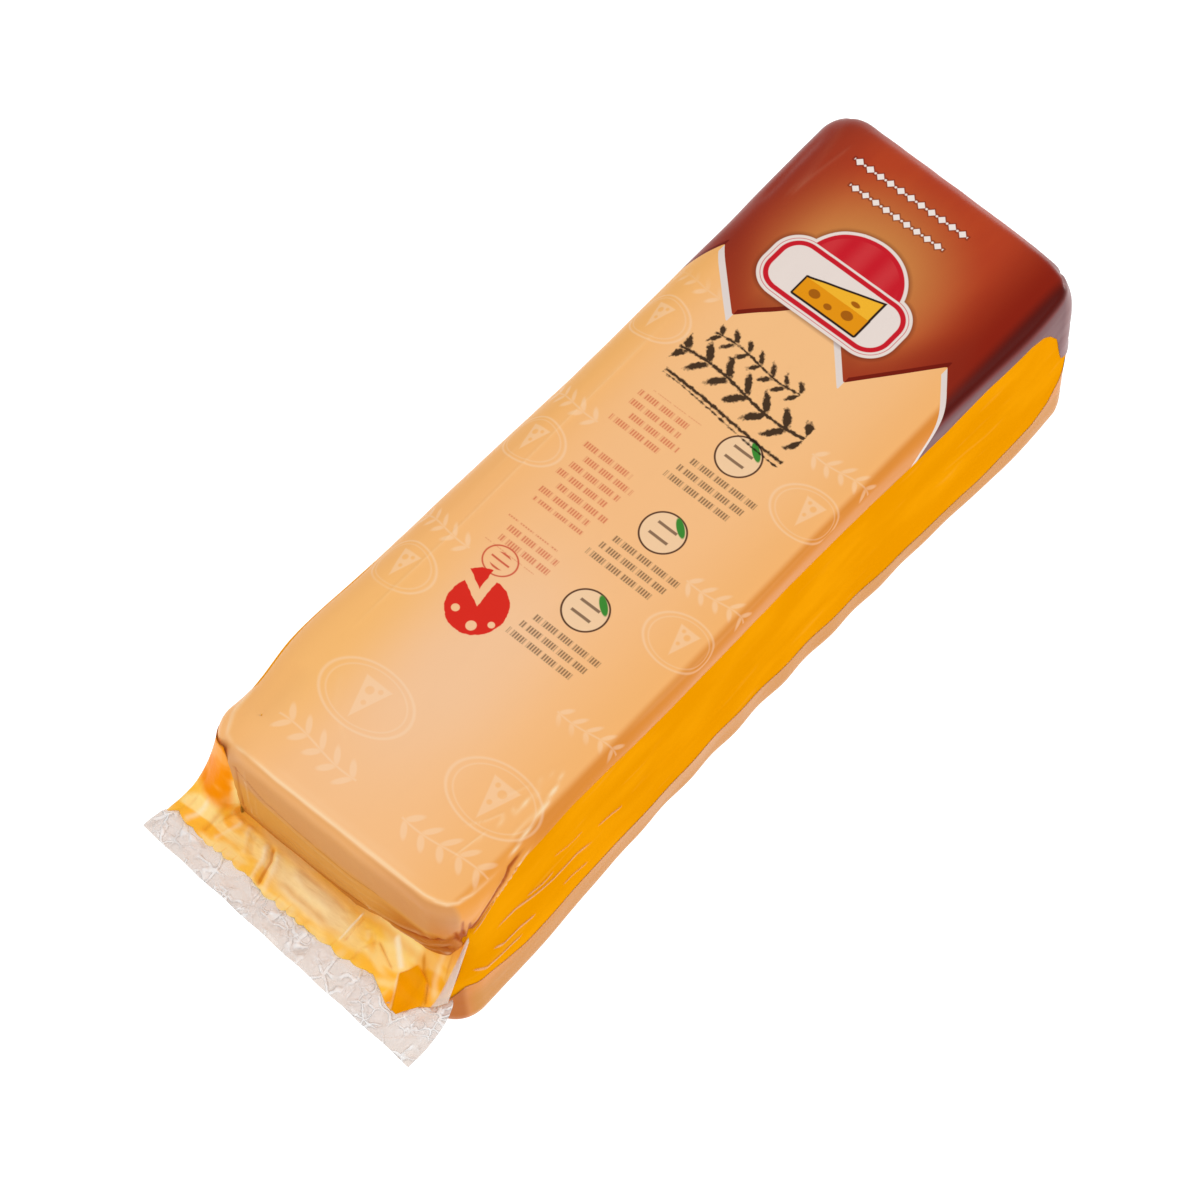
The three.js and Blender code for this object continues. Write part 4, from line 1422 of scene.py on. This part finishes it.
def build_sheet(name, face, relief, rows, material):
    """A closed thin sheet with an upper and a lower face."""
    across, along = np.meshgrid(np.linspace(0, 1, TAIL_COLUMNS + 1), np.linspace(0, 1, rows + 1))
    across, along = across.ravel(), along.ravel()
    upper = face(across, along, 1)
    lower = face(across, along, -1)
    lift, tones = relief((upper + lower) / 2, across, along)
    upper[:, 2] += lift
    lower[:, 2] += lift
    above = np.arange(upper.shape[0]).reshape(rows + 1, TAIL_COLUMNS + 1)
    below = above + above.size
    rim = np.concatenate([above[0], above[1:, -1], above[-1, -2::-1], above[-2::-1, 0]])
    sides = grid_faces(np.stack([rim, rim + above.size]))
    top = grid_faces(above)[:, ::-1]
    quads = np.concatenate([top, grid_faces(below), sides])
    both = {key: np.tile(values, 2) for key, values in tones.items()}
    return add_mesh(name, np.concatenate([upper, lower]), quads, [material], None, both)


def build_tail():
    skirt = build_sheet("skirt_film", skirt_face, skirt_relief, SKIRT_ROWS, yellow_film_material())
    strip = build_sheet("weld_strip", strip_face, strip_relief, STRIP_ROWS, clear_film_material())
    for piece, node, slot in (
        (skirt, "bag_skirt", "yellow_film"),
        (strip, "seal_strip", "clear_film"),
    ):
        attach(piece, "root")
        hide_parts(node)


# The stage

FLOOR_HALF = 3000
SKY = 0.58
FLOOR_GLOW = 1.35
CAMERA_ELEVATION = 61.044
CAMERA_AZIMUTH = 220.853
CAMERA_ROLL = 0.258
CAMERA_DISTANCE = 1437.94
CAMERA_RIGHT = -17.043
CAMERA_UP = 4.725
CAMERA_LENS = 136.94
SENSOR_WIDTH = 36


def turn_about(axis, degrees):
    return Matrix.Rotation(math.radians(degrees), 4, axis)


def add_camera():
    """The photograph's view: azimuth from +X, and the aim moved a little right and up."""
    data = bpy.data.cameras.new("camera")
    data.lens = CAMERA_LENS
    data.sensor_width = SENSOR_WIDTH
    camera = bpy.data.objects.new("camera", data)
    aim = turn_about("Z", CAMERA_AZIMUTH + 90) @ turn_about("X", 90 - CAMERA_ELEVATION)
    place = Vector((CAMERA_RIGHT, CAMERA_UP, CAMERA_DISTANCE)) * MM
    camera.matrix_world = aim @ turn_about("Z", CAMERA_ROLL) @ Matrix.Translation(place)
    bpy.context.scene.collection.objects.link(camera)
    bpy.context.scene.camera = camera


def add_light(name, azimuth, elevation, distance, size, share):
    """A square soft light aimed at the loaf, and the share that it adds to a white face."""
    level = math.cos(math.radians(elevation))
    turn = math.radians(azimuth)
    toward = Vector((level * math.cos(turn), level * math.sin(turn), math.sin(math.radians(elevation))))
    data = bpy.data.lights.new(name, "AREA")
    data.size = size * MM
    data.energy = share * math.pi**2 * (distance * MM) ** 2
    light = bpy.data.objects.new(name, data)
    light.location = toward * distance * MM + Vector((0, 0, LOAF_HEIGHT / 2 * MM))
    light.rotation_mode = "QUATERNION"
    light.rotation_quaternion = toward.to_track_quat("Z", "Y")
    bpy.context.scene.collection.objects.link(light)


def add_floor():
    """A plain white floor that glows like a light table and takes no shadow."""
    material, tree, shader = new_material("floor")
    plug_all(shader, {"Base Color": "000000", "Specular IOR Level": 0})
    plug_all(shader, {"Emission Color": "FFFFFF", "Emission Strength": FLOOR_GLOW})
    corners = np.array([(-1, -1, 0), (1, -1, 0), (1, 1, 0), (-1, 1, 0)]) * FLOOR_HALF
    floor = add_mesh("floor", corners.astype(float), [(0, 1, 2, 3)], [material])


def add_stage():
    add_floor()
    world = bpy.data.worlds.new("studio")
    world.use_nodes = True
    plug_all(world.node_tree.nodes["Background"], {"Color": "FFFFFF", "Strength": SKY})
    bpy.context.scene.world = world
    add_light("key", -65, 58, 1500, 1200, 0.32)
    add_light("glint", 165, 50, 1300, 500, 0.2)
    bpy.context.scene.view_settings.view_transform = "Standard"
    bpy.context.scene.cycles.max_bounces = 3


add_camera()
build_loaf()
build_tail()
add_stage()
